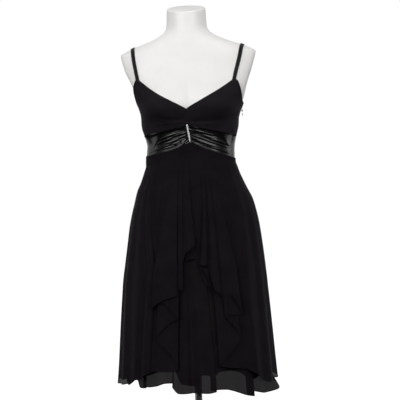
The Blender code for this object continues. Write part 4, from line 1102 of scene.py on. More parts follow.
@dataclass(frozen=True)
class Stand:
    """A round base with a boss, the pole, and a collar under the form."""

    base_radius: float = 0.15
    base_edge: float = 0.004
    crown: float = 0.011
    boss_radius: float = 0.021
    boss_top: float = 0.034
    pole_radius: float = 0.0097
    collar_radius: float = 0.024
    collar_height: float = 0.01
    gap: float = 0.0003  # between the collar and what it holds
    pole_gap: float = 0.0002  # at the pole's two ends
    rounding: float = 0.002  # of the rims
    foot_round: float = 0.001
    edge_round: float = 0.003
    crown_fall: float = 0.002
    boss_hollow: tuple[float, float] = (0.006, 0.004)  # at its foot, out and up
    boss_round: tuple[float, float] = (0.0017, 0.003)
    segments: int = 80

    def base_profile(self) -> Grid:
        """The base's outline: a rolled edge, a low crown, and a boss with a soft shoulder.

        Returns:
            Rows of radius and height, from the foot up.
        """
        quarter = np.linspace(0, QUARTER, 8)
        cosine, sine = np.cos(quarter), np.sin(quarter)
        small, wide = self.foot_round, self.edge_round
        out, up = self.boss_round
        foot = np.column_stack([self.base_radius - small + small * sine, small - small * cosine])
        edge = np.column_stack([self.base_radius - wide + wide * cosine,
                                self.base_edge + self.rounding * sine])
        rise = np.array([
            [self.base_radius - wide, self.base_edge + self.rounding],
            [self.base_radius * 0.55, self.crown - self.crown_fall],
            [self.boss_radius + self.boss_hollow[0], self.crown],
            [self.boss_radius, self.crown + self.boss_hollow[1]],
            [self.boss_radius * 0.8, self.boss_top - up],
        ])
        top = np.column_stack([self.boss_radius * 0.72 + out * cosine,
                               self.boss_top - up + up * sine])
        return np.concatenate([foot, edge[:-1], through(rise, 10), top[1:]])

    def build(self, steel: TurnedSteel, base_steel: TurnedSteel) -> None:
        """Builds the three turned pieces.

        Args:
            steel: of the pole and the collar.
            base_steel: of the base.
        """
        base = Stock().tube(turned(self.base_profile(), self.segments))
        dress(base.piece("base_plate"), base_steel.material(), ("stand_base",))
        finish = steel.material()
        heights = np.linspace(self.boss_top + self.pole_gap, FORM_BOTTOM - self.pole_gap, 40)
        outline = np.stack([np.full_like(heights, self.pole_radius), heights], axis=-1)
        pole = Stock().tube(turned(outline, self.segments // 2))
        dress(pole.piece("pole_tube"), finish, ("stand_pole",))
        high, low = FORM_BOTTOM - self.gap, FORM_BOTTOM - self.collar_height
        bore, rim, rounding = self.pole_radius + self.gap, self.collar_radius, self.rounding
        quarter = np.linspace(0, QUARTER, 6)
        lower = np.stack([rim - rounding + rounding * np.cos(quarter),
                          low + rounding - rounding * np.sin(quarter)], axis=-1)
        outline = np.vstack([[bore, low], lower[::-1], [rim, high], [bore, high]])
        rings = turned(outline, self.segments // 2)
        closed = np.concatenate([rings, rings[:1]])
        closed = np.concatenate([closed, closed[:, :1]], axis=1)
        places = np.stack([lengths(closed, 1), lengths(closed, 0)], axis=-1)
        collar = Stock()
        collar.grid(rings, places, around=True, looped=True)
        dress(collar.piece("collar_ring"), finish, ("stand_collar",))


# ---- bodice
class Ridge(NamedTuple):
    """A level ridge or crease of the bodice."""

    z: float
    out: float
    spread: float

    def at(self, z: Grid) -> Grid:
        """Its height: a bell around its own z."""
        return self.out * np.exp(-(((z - self.z) / self.spread) ** 2))


class Crease(NamedTuple):
    """A soft fold seen from the front, from one end to the other.

    bow is how far its middle hangs below the chord. A trough has a negative height.
    """

    x1: float
    z1: float
    x2: float
    z2: float
    bow: float
    height: float
    upper: float
    lower: float
    fade: float = 0.004  # past its ends

    def at(self, x: Grid, z: Grid) -> Grid:
        """Its height at points.

        A bell across the line, with its own width above and below, which fades in
        and out along it as the root of a sine.

        Args:
            x, z: places seen from the front.

        Returns:
            The heights.
        """
        share = np.clip((x - self.x1) / (self.x2 - self.x1), 0, 1)
        line = self.z1 + (self.z2 - self.z1) * share - self.bow * np.sin(math.pi * share)
        slope = (self.z2 - self.z1) / (self.x2 - self.x1)
        away = (z - line) / math.hypot(1, slope)
        width = np.where(away > 0, self.upper, self.lower)
        fade = np.sqrt(np.maximum(np.sin(math.pi * np.clip(0.06 + 0.88 * share, 0, 1)), 0))
        past = np.minimum(np.abs(x - self.x1), np.abs(x - self.x2))
        beyond = (share <= 0) | (share >= 1)
        fade = np.where(beyond, fade * np.exp(-((past / self.fade) ** 2)), fade)
        return self.height * fade * np.exp(-((away / width) ** 2))


def creased(creases: tuple[Crease, ...], x: Grid, z: Grid) -> Grid:
    """The sum of the creases' heights at points seen from the front."""
    return sum((crease.at(x, z) for crease in creases), np.zeros(np.broadcast(x, z).shape))


class BodiceSide(NamedTuple):
    """Where one side of the bodice meets its strap and its side seam."""

    side: Side
    strap_x: float
    strap_z: float
    side_z: float
    neck_sag: float
    strap_top_x: float
    strap_back_x: float


BODICE_SIDES = (
    BodiceSide(Side.LEFT, 0.127, 1.1165, 1.056, 0.004, 0.1508, 0.1),
    BodiceSide(Side.RIGHT, -0.1288, 1.124, 1.058, 0.007, -0.145, -0.1),
)
# Soft folds of the gathered cups: the creases under the bust, and gathers from the band.
CUP_CREASES = rows_of(
    Crease,
    (-0.099, 1.0235, -0.014, 1.0135, 0.003, -0.0014, 0.0018, 0.004),
    (0.004, 1.0085, 0.0965, 1.0125, 0.0035, -0.0015, 0.0018, 0.0038),
    (-0.09, 1.033, -0.025, 1.02, 0.002, 0.0008, 0.006, 0.005),
    (0.012, 1.019, 0.09, 1.026, 0.002, 0.0009, 0.006, 0.005),
    (-0.082, 1.005, -0.01, 1.0065, 0.001, 0.0006, 0.003, 0.0028),
    (0.01, 1, 0.087, 0.997, 0, 0.0007, 0.0034, 0.003),
    (-0.056, 1.056, -0.008, 1.033, 0, 0.0005, 0.0045, 0.004),
    (0.007, 1.033, 0.06, 1.052, 0, 0.0005, 0.0045, 0.004),
)


@dataclass(frozen=True)
class Bodice:
    """Two gathered cups, their satin bindings, and the back."""

    surface: FormSurface
    v_point_z: float = 1.041
    strap_width: float = 0.0088  # of the strap's seat between neckline and armhole
    binding_width: float = 0.0026
    binding_lap: float = 0.45  # the share of a binding's width that covers the cup
    binding_inset: float = 0.004  # from the strap, in radians
    seam_inset: float = 0.0015  # of a binding from the centre and the side seam, in radians
    binding_wall: float = 0.0019
    wall: float = 0.001
    armhole_fall: float = math.radians(8)
    back_dip: float = 0.008
    cup_full: Ridge = Ridge(1.026, 0.002, 0.016)
    cup_crease: Ridge = Ridge(1.0095, -0.0006, 0.005)
    zip_bulge: Ridge = Ridge(1.052, 0.003, 0.014)
    cup_ease: float = 0.0012
    cup_spread: float = math.radians(27)
    zip_spread: float = math.radians(17)
    gathers: int = 34  # fine gathers that start at the band, for each radian
    gather_depth: float = 0.00035
    gather_reach: float = 0.016  # height above the band over which they die away
    rows: int = 56
    columns: int = 120

    def fullness(self, theta: Grid, z: Grid) -> Grid:
        """How far the cup stands off: bells in angle times the level ridges in height.

        Args:
            theta, z: angles and heights.

        Returns:
            The distances.
        """
        facing = np.arctan2(np.sin(theta), np.cos(theta))
        cup = np.exp(-(((np.abs(facing) - self.surface.bust_angle) / self.cup_spread) ** 2))
        seam = np.exp(-(((facing - QUARTER) / self.zip_spread) ** 2))
        out = self.cup_full.at(z) + self.cup_crease.at(z) + self.cup_ease
        return cup * out + seam * self.zip_bulge.at(z)

    def middle(self, theta: Grid, z: Grid, lift: float) -> Grid:
        """Points that ride on the form, its fullness, the creases and the fine gathers.

        The gathers are a cosine in angle that dies away above the band.

        Args:
            theta, z: angles and heights.
            lift: distance from the form's surface.

        Returns:
            The points.
        """
        theta, z = np.broadcast_arrays(theta, z)
        radius = self.surface.dressed(theta, z) + lift + self.fullness(theta, z)
        x = self.surface.axis(z)[0] + radius * np.sin(theta)
        front = np.where(np.cos(theta) > 0, 1.0, 0.0)
        folds = creased(CUP_CREASES, x, z) * front
        above = z - BAND_TOP.height(theta)
        beat = np.cos(self.gathers * theta + 3.0 * np.sin(7 * theta))
        fine = self.gather_depth * (1 + beat) * np.exp(-np.maximum(above, 0) / self.gather_reach)
        return self.surface.points(theta, z, radius + folds + fine)

    def strap_angles(self, side: BodiceSide) -> Grid:
        """The bearings between which the strap meets the bodice, found on the skin.

        Args:
            side: the cup's.

        Returns:
            The inner and the outer bearing.
        """
        sign = side.side.value
        shift = float(self.surface.axis(np.array([side.strap_z]))[0][0])
        half = self.strap_width / 2
        wanted = abs(side.strap_x) + np.array([-half, half]) - sign * shift
        tries = np.linspace(math.radians(30), math.radians(85), 400)
        radius = self.surface.radius(sign * tries, np.full_like(tries, side.strap_z))
        return np.interp(wanted, radius * np.sin(tries), tries)

    def top_edge(self, side: BodiceSide, theta: Grid) -> Grid:
        """Height of a cup's top edge.

        From the V it rises with x to the strap, less a hollow that is a sine of
        the way; from the strap it falls as an exponential to the side seam.

        Args:
            side: the cup's.
            theta: angles.

        Returns:
            The heights.
        """
        sign = side.side.value
        z = np.full_like(theta, side.strap_z)
        for _ in range(6):
            radius = self.surface.radius(theta, z)
            x = sign * (radius * np.sin(theta) + self.surface.axis(z)[0])
            start = sign * BAND_TOP.peak_x
            inner = abs(side.strap_x) - self.strap_width / 2
            share = np.clip((x - start) / (inner - start), 0, 1)
            sag = side.neck_sag * np.sin(math.pi * share**1.3)
            z = self.v_point_z + (side.strap_z - self.v_point_z) * share - sag
        outer = self.strap_angles(side)[1]
        bearing = sign * theta
        fall = np.exp(-np.maximum(bearing - outer, 0) / self.armhole_fall)
        return np.where(bearing > outer, side.side_z + (side.strap_z - side.side_z) * fall, z)

    def back_edge(self, theta: Grid) -> Grid:
        """Height of the back's top edge: the sides', less a dip towards the centre."""
        side = between_sides(BODICE_SIDES[0].side_z, BODICE_SIDES[1].side_z, theta)
        return side - self.back_dip * (1 - np.abs(np.sin(theta))) ** 0.7

    def cup(self, side: BodiceSide, finish: Material) -> None:
        """One cup from the centre join to the side seam, up to just under its bindings.

        Args:
            side: which one.
            finish: its material.
        """
        sign = side.side.value
        first = sign * BAND_TOP.peak_x / BAND_TOP.depth + SEAM_HALF / BAND_TOP.depth
        last = QUARTER - SEAM_HALF / BODICE_REACH
        theta = sign * np.linspace(first, last, self.columns)
        low = BAND_TOP.height(theta) - TUCK
        top = self.top_edge(side, theta) - self.binding_width * self.binding_lap
        share = np.linspace(1, 0, self.rows)[:, None]
        z = low + (top - low) * share
        middle = self.middle(theta[None, :], z, EASE + BODICE_ROOM / 2)
        label = side.side.label
        piece = shell("cup_" + label, middle, self.wall, self.rows // 2)
        dress(piece, finish, ("bodice_front_" + label,))

    def binding(self, name: str, side: BodiceSide, first: float, last: float,
                finish: Material) -> None:
        """A rolled satin edge along part of the cup's top edge, between two bearings.

        Args:
            name: the edge it covers.
            side: the cup's.
            first, last: the bearings.
            finish: its material.
        """
        theta = side.side.value * np.linspace(first, last, 500)
        z = self.top_edge(side, theta) - self.binding_width / 2
        lift = EASE + self.binding_wall / 2
        path = evenly_spaced(self.middle(theta, z, lift), 150)
        out = self.surface.outward(path)
        profile = profile_oval(self.binding_width / 2, self.binding_wall / 2, 14, 2.6)
        piece = Stock().tube(carried(path, out, profile)).piece(f"{name}_roll_{side.side.label}")
        dress(piece, finish, (f"{name}_binding_{side.side.label}",))

    def back(self, finish: Material) -> None:
        """The back from seam to seam.

        Args:
            finish: its material.
        """
        edge = QUARTER + SEAM_HALF / BODICE_REACH
        theta = np.linspace(edge, TURN - edge, self.columns)
        low = BAND_TOP.height(theta) - TUCK
        top = self.back_edge(theta)
        z = low + (top - low) * np.linspace(1, 0, 40)[:, None]
        middle = self.middle(theta[None, :], z, EASE + BODICE_ROOM / 2)
        piece = shell("bodice_back_panel", middle, self.wall)
        dress(piece, finish, ("bodice_back",))

    def build(self, chiffon: Material, satin: Material) -> None:
        """Builds the cups, the bindings and the back.

        Args:
            chiffon: of the cups and the back.
            satin: of the bindings.
        """
        for side in BODICE_SIDES:
            self.cup(side, chiffon)
            inner, outer = self.strap_angles(side)
            first = side.side.value * BAND_TOP.peak_x / BAND_TOP.depth
            last = QUARTER - self.seam_inset
            self.binding("neckline", side, first + self.seam_inset, inner - self.binding_inset,
                         satin)
            self.binding("armhole", side, outer + self.binding_inset, last, satin)
        self.back(chiffon)


@dataclass(frozen=True)
class Straps:
    """Two flat satin tubes over the shoulders."""

    surface: FormSurface
    bodice: Bodice
    width: float = 0.0106
    wall: float = 0.0015
    lift: float = 0.001
    sewn_in: float = 0.005  # how far it runs down into the cup
    sewn_behind: float = 0.001  # and into the back
    rib_height: float = 0.00022  # of the edges pressed thicker
    rib_spread: float = 0.0007
    furthest: float = 0.2  # from the pivot, well outside the form
    pivot_y: float = 0.012
    pivot_z: float = 1.13
    sweep: tuple[float, float] = (math.radians(-35), math.radians(236))
    ends: tuple[float, float] = (math.radians(-6), math.radians(218))
    rings: int = 180
    sides: int = 28

    def on_form(self, x: Grid, bearing: Grid) -> Grid:
        """Where rays from the shoulder's middle leave the form, found by halving.

        Args:
            x: the rays' places across.
            bearing: their angles up from the front.

        Returns:
            The points.
        """
        near, far = np.zeros_like(x), np.full_like(x, self.furthest)
        for _ in range(40):
            reach = (near + far) / 2
            y = self.pivot_y - reach * np.cos(bearing)
            z = self.pivot_z + reach * np.sin(bearing)
            inside = self.surface.outside(np.stack([x, y, z], axis=-1)) < 0
            near, far = np.where(inside, reach, near), np.where(inside, far, reach)
        return np.stack([x, y, z], axis=-1)

    def path(self, side: BodiceSide) -> Grid:
        """The strap's middle line on the form, from front edge to back edge.

        Its x moves from the top's to each end's in step with the drop of the
        bearing's sine, which looks straight from the front.

        Args:
            side: which one.

        Returns:
            The line's points.
        """
        bearing = np.linspace(*self.sweep, 480)
        in_front = bearing < QUARTER
        end = np.where(in_front, *self.ends)
        end_x = np.where(in_front, side.strap_x, side.strap_back_x)
        drop = (1 - np.sin(bearing)) / (1 - np.sin(end))
        points = self.on_form(side.strap_top_x + (end_x - side.strap_top_x) * drop, bearing)
        top_point = int(np.argmax(points[:, 2]))
        start = int(np.argmax(points[:top_point, 2] >= side.strap_z - self.sewn_in))
        angle = np.arctan2(points[:, 0], -points[:, 1])
        below = points[top_point:, 2] <= self.bodice.back_edge(angle[top_point:]) - self.sewn_behind
        stop = top_point + int(np.argmax(below))
        return evenly_spaced(points[start:stop + 1], self.rings)

    def profile(self) -> Grid:
        """The tube's section: a flat superellipse whose two edges are pressed thicker.

        Returns:
            Rows of across and out.
        """
        oval = profile_oval(self.width / 2, self.wall / 2, self.sides, 3.4)
        away = np.abs(oval[:, 0]) - self.width * 0.38
        rib = self.rib_height * np.exp(-((away / self.rib_spread) ** 2))
        oval[:, 1] += np.where(oval[:, 1] > 0, rib, 0.0)
        return oval

    def build(self, finish: Material) -> None:
        """Builds both straps.

        Args:
            finish: their material.
        """
        for side in BODICE_SIDES:
            path = self.path(side)
            out = self.surface.outward(path)
            rings = carried(path + out * (self.lift + self.wall / 2), out, self.profile())
            label = side.side.label
            piece = Stock().tube(rings).piece("shoulder_strap_" + label, sharp=60.0)
            dress(piece, finish, ("strap_" + label,))


# ---- midriff band
# The pleats fan from the bar towards their side. Each is rounder above than below,
# where the next one tucks under it.
RIGHT_PLEATS = rows_of(
    Crease,
    (-0.1057, 0.9745, -0.005, 0.9945, 0, 0.0013, 0.003, 0.0034),
    (-0.078, 0.9632, -0.0221, 0.9788, 0, 0.0014, 0.0032, 0.0014),
    (-0.0824, 0.9525, -0.0047, 0.979, 0.0006, 0.0014, 0.0032, 0.0018),
    (-0.106, 0.93, -0.0068, 0.9705, 0.0024, 0.0014, 0.0038, 0.0018),
    (-0.036, 0.949, -0.024, 0.9545, 0, 0.001, 0.002, 0.0012),
    (-0.019, 0.944, -0.005, 0.96, 0, 0.0014, 0.0034, 0.0018),
    (-0.046, 0.931, -0.0008, 0.955, 0.001, 0.0012, 0.003, 0.0014),
    (-0.07, 0.956, -0.015, 0.974, 0.0006, -0.0009, 0.0018, 0.0018),
    (-0.088, 0.938, -0.015, 0.966, 0.0016, -0.001, 0.0022, 0.0018),
    (-0.096, 0.942, -0.073, 0.974, 0, 0.0012, 0.01, 0.0022),
)
LEFT_PLEATS = rows_of(
    Crease,
    (0.005, 0.993, 0.03, 0.9875, 0, 0.0011, 0.0026, 0.0016),
    (0.005, 0.9838, 0.039, 0.9765, -0.001, 0.001, 0.0026, 0.0018),
    (0.007, 0.9735, 0.0999, 0.938, 0, 0.0012, 0.0032, 0.0018),
    (0.048, 0.966, 0.105, 0.944, 0.001, 0.0016, 0.005, 0.0016),
    (0.007, 0.965, 0.1136, 0.919, 0.0012, 0.0018, 0.0048, 0.002),
    (0.006, 0.956, 0.09, 0.912, 0.0006, 0.0012, 0.0024, 0.002),
    (0.03, 0.968, 0.09, 0.944, 0, -0.001, 0.0018, 0.0016),
    (0.03, 0.953, 0.096, 0.928, 0.0006, -0.001, 0.002, 0.0018),
    (0.079, 0.983, 0.107, 0.94, 0, 0.0013, 0.01, 0.0022),
)


@dataclass(frozen=True)
class MidriffBand:
    """Two satin fronts laid in uneven pleats, and a smoother back."""

    surface: FormSurface
    wall: float = 0.0011
    columns: int = 170
    rows: int = 110
    back_pleats: int = 4
    back_pleat_depth: float = 0.0005
    gather_depth: float = 0.00013
    coarse_gathers: float = 8.0  # in the band's height
    fine_gathers: float = 13.0
    smooth_from: float = 0.6  # the angle at which they start to fade, in radians,
    smooth_over: float = 0.35  # and how far they take to do so
    edge_roll: float = 0.0008
    edge_share: float = 0.05  # of the band's height

    def middle(self, theta: Grid, share_up: Grid, relief: Grid | float) -> Grid:
        """Points of the band: between its edges in height, on the form plus the relief.

        Args:
            theta: angles.
            share_up: 0 at the lower edge, 1 at the upper.
            relief: height of the folds.

        Returns:
            The points.
        """
        low, high = BAND_BOTTOM.height(theta), BAND_TOP.height(theta)
        z = low + (high - low) * share_up
        lift = EASE + BAND_ROOM - self.wall + relief
        return self.surface.points(theta, z, self.surface.dressed(theta, z) + lift)

    def gathers(self, theta: Grid, share_up: Grid) -> Grid:
        """Fine gathers that fan from the bar and die out before the smooth side patch.

        Two cosines in height, whose phases drift along the band, times a fade with the angle.

        Args:
            theta: angles.
            share_up: 0 at the lower edge, 1 at the upper.

        Returns:
            The heights.
        """
        turn = np.abs(theta)
        drift, back_drift = 0.9 * np.sin(3.1 * turn), 1.3 * np.sin(2.3 * turn + 0.6)
        coarse = np.cos(TURN * (self.coarse_gathers * share_up + drift))
        fine = np.cos(TURN * (self.fine_gathers * share_up - back_drift))
        fade = 1 - ease((turn - self.smooth_from) / self.smooth_over)
        return self.gather_depth * fade * (coarse + 0.7 * fine)

    def front(self, side: Side, pleats: tuple[Crease, ...], finish: Material) -> None:
        """One half from the centre join to the side seam.

        Args:
            side: which half.
            pleats: its folds.
            finish: its material.
        """
        sign = side.value
        up = np.linspace(1, 0, self.rows)[:, None]
        at_centre = BAND_BOTTOM.centre + (BAND_TOP.centre - BAND_BOTTOM.centre) * up
        start = sign * join_angle(at_centre) + SEAM_HALF / BAND_TOP.depth
        end = QUARTER - SEAM_HALF / BAND_REACH
        share = (np.linspace(0, 1, self.columns) ** 1.15)[None, :]
        theta = sign * (start + (end - start) * share)
        flat = self.middle(theta, up, 0.0)
        relief = creased(pleats, flat[..., 0], flat[..., 2]) + self.gathers(theta, up)
        rolled = (self.edge_roll * np.exp(-((1 - up) / self.edge_share) ** 2)
                  + self.edge_roll * np.exp(-(up / self.edge_share) ** 2))
        piece = shell("band_" + side.label, self.middle(theta, up, relief + rolled), self.wall, 40)
        dress(piece, finish, ("band_front_" + side.label,))

    def back(self, finish: Material) -> None:
        """The back, drawn into shallow level folds by a cosine in height.

        Args:
            finish: its material.
        """
        edge = QUARTER + SEAM_HALF / BAND_REACH
        theta = np.linspace(edge, TURN - edge, 130)[None, :]
        up = np.linspace(1, 0, 48)[:, None]
        inward = np.abs(np.sin(math.pi * (theta - edge) / (TURN - 2 * edge)))
        wave = np.cos(TURN * (self.back_pleats * up + 0.4 * np.sin(2 * theta)))
        relief = self.back_pleat_depth * (1 + wave) * inward**0.5
        piece = shell("band_back_panel", self.middle(theta, up, relief), self.wall, 24)
        dress(piece, finish, ("band_back",))

    def build(self, finish: Material) -> None:
        """Builds both fronts and the back.

        Args:
            finish: their material.
        """
        self.front(Side.LEFT, LEFT_PLEATS, finish)
        self.front(Side.RIGHT, RIGHT_PLEATS, finish)
        self.back(finish)


@dataclass(frozen=True)
class JewelledBar:
    """A narrow setting of foil-backed stones over the join of the two band fronts."""

    surface: FormSurface
    width: float = 0.0044
    wall: float = 0.0016
    overhang: float = 0.0006
    lift: float = 0.0058  # of the setting's middle from the form
    stones: int = 10
    stone_radius: float = 0.0023
    stone_share: float = 0.64  # of the bar's length that holds round stones

    def spine(self, count: int) -> tuple[Grid, Grid]:
        """The bar's middle line down the leaning join, and its outward directions.

        Args:
            count: how many points.

        Returns:
            The points and the directions.
        """
        z = np.linspace(BAND_TOP.centre + self.overhang, BAND_BOTTOM.centre - self.overhang, count)
        theta = join_angle(z)
        path = self.surface.points(theta, z, self.surface.radius(theta, z) + self.lift)
        return path, self.surface.outward(path)

    def setting(self) -> Stock:
        """The metal strip: a flat superellipse carried down the join, drawn in at its ends.

        Returns:
            The strip.
        """
        path, out = self.spine(60)
        share = np.linspace(0, 1, 60)
        taper = np.sqrt(np.clip(np.minimum(share, 1 - share) * 24, 0.04, 1))
        taper = taper * (1 - 0.45 * ease((share - self.stone_share) / (1 - self.stone_share)))
        oval = profile_oval(self.width / 2, self.wall / 2, 18, 2.6)
        profile = oval[None, :, :] * np.stack([taper, np.ones_like(taper)], axis=-1)[:, None, :]
        return Stock().tube(carried(path, out, profile))

    def jewels(self) -> Stock:
        """Round cut stones, and the long drop below them.

        A stone is rings of eight points, some turned by half a facet.

        Returns:
            The stones.
        """
        stock = Stock()
        path, out = self.spine(200)
        along = unit(np.gradient(path, axis=0))
        turn = np.linspace(0, TURN, 8, endpoint=False)
        levels = ((-0.2, 0.55, 0.0), (0.25, 1.0, 0.0), (0.55, 0.86, 0.5), (0.85, 0.52, 0.0))
        for number in range(self.stones):
            spot = int((0.02 + self.stone_share * (number + 0.4) / self.stones) * 199)
            size = self.stone_radius * (1.0 if number % 2 == 0 else 0.7)
            across = np.cross(along[spot], out[spot])
            seat = path[spot] + out[spot] * self.wall * 0.45
            rings = []
            for height, share, offset in levels:
                bearing = turn + offset * math.pi / 8
                flat = np.cos(bearing)[:, None] * across + np.sin(bearing)[:, None] * along[spot]
                rings.append(seat + out[spot] * height * size + flat * share * size)
            stock.tube(np.array(rings))
        start = int((self.stone_share + 0.02) * 199)
        drop, facing = path[start:197:3] + out[start:197:3] * self.wall * 0.5, out[start:197:3]
        share = np.linspace(0, 1, len(drop))
        swell = np.sqrt(np.clip(np.sin(math.pi * np.clip(share * 0.8 + 0.16, 0, 1)), 0.02, 1))
        facet = profile_oval(self.width * 0.36, self.wall * 0.55, 8, 1.5)
        stock.tube(carried(drop, facing, facet[None, :, :] * swell[:, None, None]))
        return stock

    def build(self, metal: Material, glass: Material) -> None:
        """Builds the setting of metal and the stones of glass."""
        dress(self.setting().piece("bar_setting"), metal, ("brooch_bar",))
        dress(self.jewels().piece("bar_stones", sharp=8.0), glass, ("brooch_bar",))


# ---- skirt
class SkirtSection(NamedTuple):
    """A level section of the skirt's innermost surface."""

    z: float
    right: float
    left: float
    front: float
    back: float


class Turn(NamedTuple):
    """A turn of the cloth along the hem: degrees, millimetres outward, metres up.

    Where the angle runs back, the cloth is folded behind itself.
    """

    angle: float
    out: float
    hem: float


SKIRT_SECTIONS = rows_of(
    SkirtSection,
    (0.29, 0.185, 0.185, 0.172, 0.168), (0.37, 0.182, 0.1837, 0.164, 0.16),
    (0.475, 0.18, 0.1824, 0.152, 0.153), (0.585, 0.176, 0.1798, 0.137, 0.143),
    (0.64, 0.1705, 0.1775, 0.13, 0.137), (0.69, 0.165, 0.1744, 0.123, 0.132),
    (0.735, 0.16, 0.1704, 0.117, 0.126), (0.77, 0.1536, 0.1646, 0.112, 0.12),
    (0.8, 0.1467, 0.1575, 0.107, 0.113), (0.828, 0.14, 0.1449, 0.102, 0.107),
    (0.849, 0.1315, 0.1353, 0.099, 0.102), (0.871, 0.124, 0.1262, 0.095, 0.097),
    (0.892, 0.1169, 0.1193, 0.091, 0.093), (0.913, 0.11, 0.111, 0.084, 0.086),
    (0.96, 0.1, 0.1, 0.07, 0.07),
)
# Down both sides of the opening, each run back of the angle makes a slanted step.
OVERLAY_FRONT = rows_of(
    Turn,
    (-90, 8, 0.33), (-82, 12.5, 0.318), (-73, 6, 0.32), (-65, 12.5, 0.321), (-56, 7, 0.328),
    (-48.5, 14, 0.338), (-43, 10, 0.341), (-38.5, 18, 0.352), (-35, 13, 0.358), (-34, 5, 0.361),
    (-25, 4, 0.362), (-14.5, 4, 0.364), (-13, 6.5, 0.378), (-20, 9, 0.411), (-29.5, 9.5, 0.443),
    (-30, 12, 0.452), (-20.5, 12.5, 0.483), (-13, 13, 0.496), (-12.8, 15.5, 0.502),
    (-24.5, 16.5, 0.536), (-33, 16.5, 0.53), (-34.5, 19, 0.524), (-25.5, 22.5, 0.543),
    (-14, 21, 0.555), (-13.2, 17.5, 0.565), (-17, 13, 0.6), (-13, 14, 0.58), (-8.6, 16, 0.57),
    (-8.2, 13, 0.6), (-9, 13, 0.627), (-5.5, 19, 0.66), (-1, 24, 0.67), (6, 20.5, 0.684),
    (6.6, 16, 0.69), (-5.5, 11, 0.652), (-6.5, 6.5, 0.645), (5, 1.5, 0.645), (11.5, 2, 0.59),
    (18.5, 2.5, 0.57), (19.3, 6, 0.575), (13, 10, 0.612), (8.5, 12.5, 0.626), (8, 17, 0.632),
    (11, 23, 0.631), (14, 20, 0.63), (16.5, 12, 0.622), (19.5, 20, 0.572), (24, 20, 0.556),
    (28, 13, 0.545), (33, 19, 0.553), (39, 21, 0.515), (40, 18, 0.505), (34, 15.5, 0.5),
    (28, 15, 0.503), (27.5, 12.5, 0.497), (37.5, 11.5, 0.455), (38, 9, 0.44), (31, 8, 0.411),
    (21.5, 7, 0.381), (20.8, 4.5, 0.372), (30, 3.5, 0.366), (42, 3.5, 0.36), (49, 15, 0.345),
    (57, 7, 0.326), (65, 12.5, 0.318), (73, 6.5, 0.324), (81, 12.5, 0.322), (90, 8, 0.33),
)
UNDERSKIRT_FRONT = rows_of(
    Turn,
    (-90, 4, 0.334), (-80, 11, 0.331), (-73, 4, 0.332), (-64, 11, 0.334), (-54, 3, 0.336),
    (-47, 11, 0.318), (-41, 10, 0.318), (-45.5, 6, 0.32), (-40, 2, 0.319), (-31, 10, 0.324),
    (-24.5, 13, 0.331), (-17, 12.5, 0.332), (-18, 9.5, 0.322), (-13.5, 10.5, 0.306),
    (-6, 13, 0.3055), (-1.5, 3, 0.306), (5, 12, 0.3055), (11, 12, 0.304), (17, 13, 0.308),
    (12.5, 10.5, 0.312), (18, 8, 0.312), (26, 9, 0.311), (33, 6, 0.304), (41, 13, 0.293),
    (49, 12, 0.287), (42.5, 8, 0.296), (50, 3, 0.299), (57, 10, 0.293), (66, 3, 0.288),
    (76, 12, 0.291), (84, 10, 0.294), (90, 8, 0.304),
)


class HemPoint(NamedTuple):
    """A point of the lining's hem: its angle in degrees and its height."""

    angle: float
    hem: float


LINING_HEM = rows_of(
    HemPoint,
    (-90, 0.35), (-62, 0.353), (-48, 0.356), (-34, 0.361), (-25, 0.367), (-18.5, 0.365),
    (-16, 0.355), (-14, 0.338), (-11.5, 0.328), (-4.5, 0.324), (0.6, 0.324), (3.4, 0.341),
    (6, 0.349), (11.5, 0.348), (16, 0.343), (22, 0.355), (32, 0.357), (41, 0.349), (50, 0.327),
    (60, 0.33), (70, 0.343), (90, 0.35),
)


class Panel(NamedTuple):
    """One panel of a skirt layer and how finely it is built."""

    name: str
    node: str
    turns: tuple[Turn, ...]
    overlay: bool
    cascade: bool
    steps: int
    rows: int
    flat: tuple[float, float]
    area: float


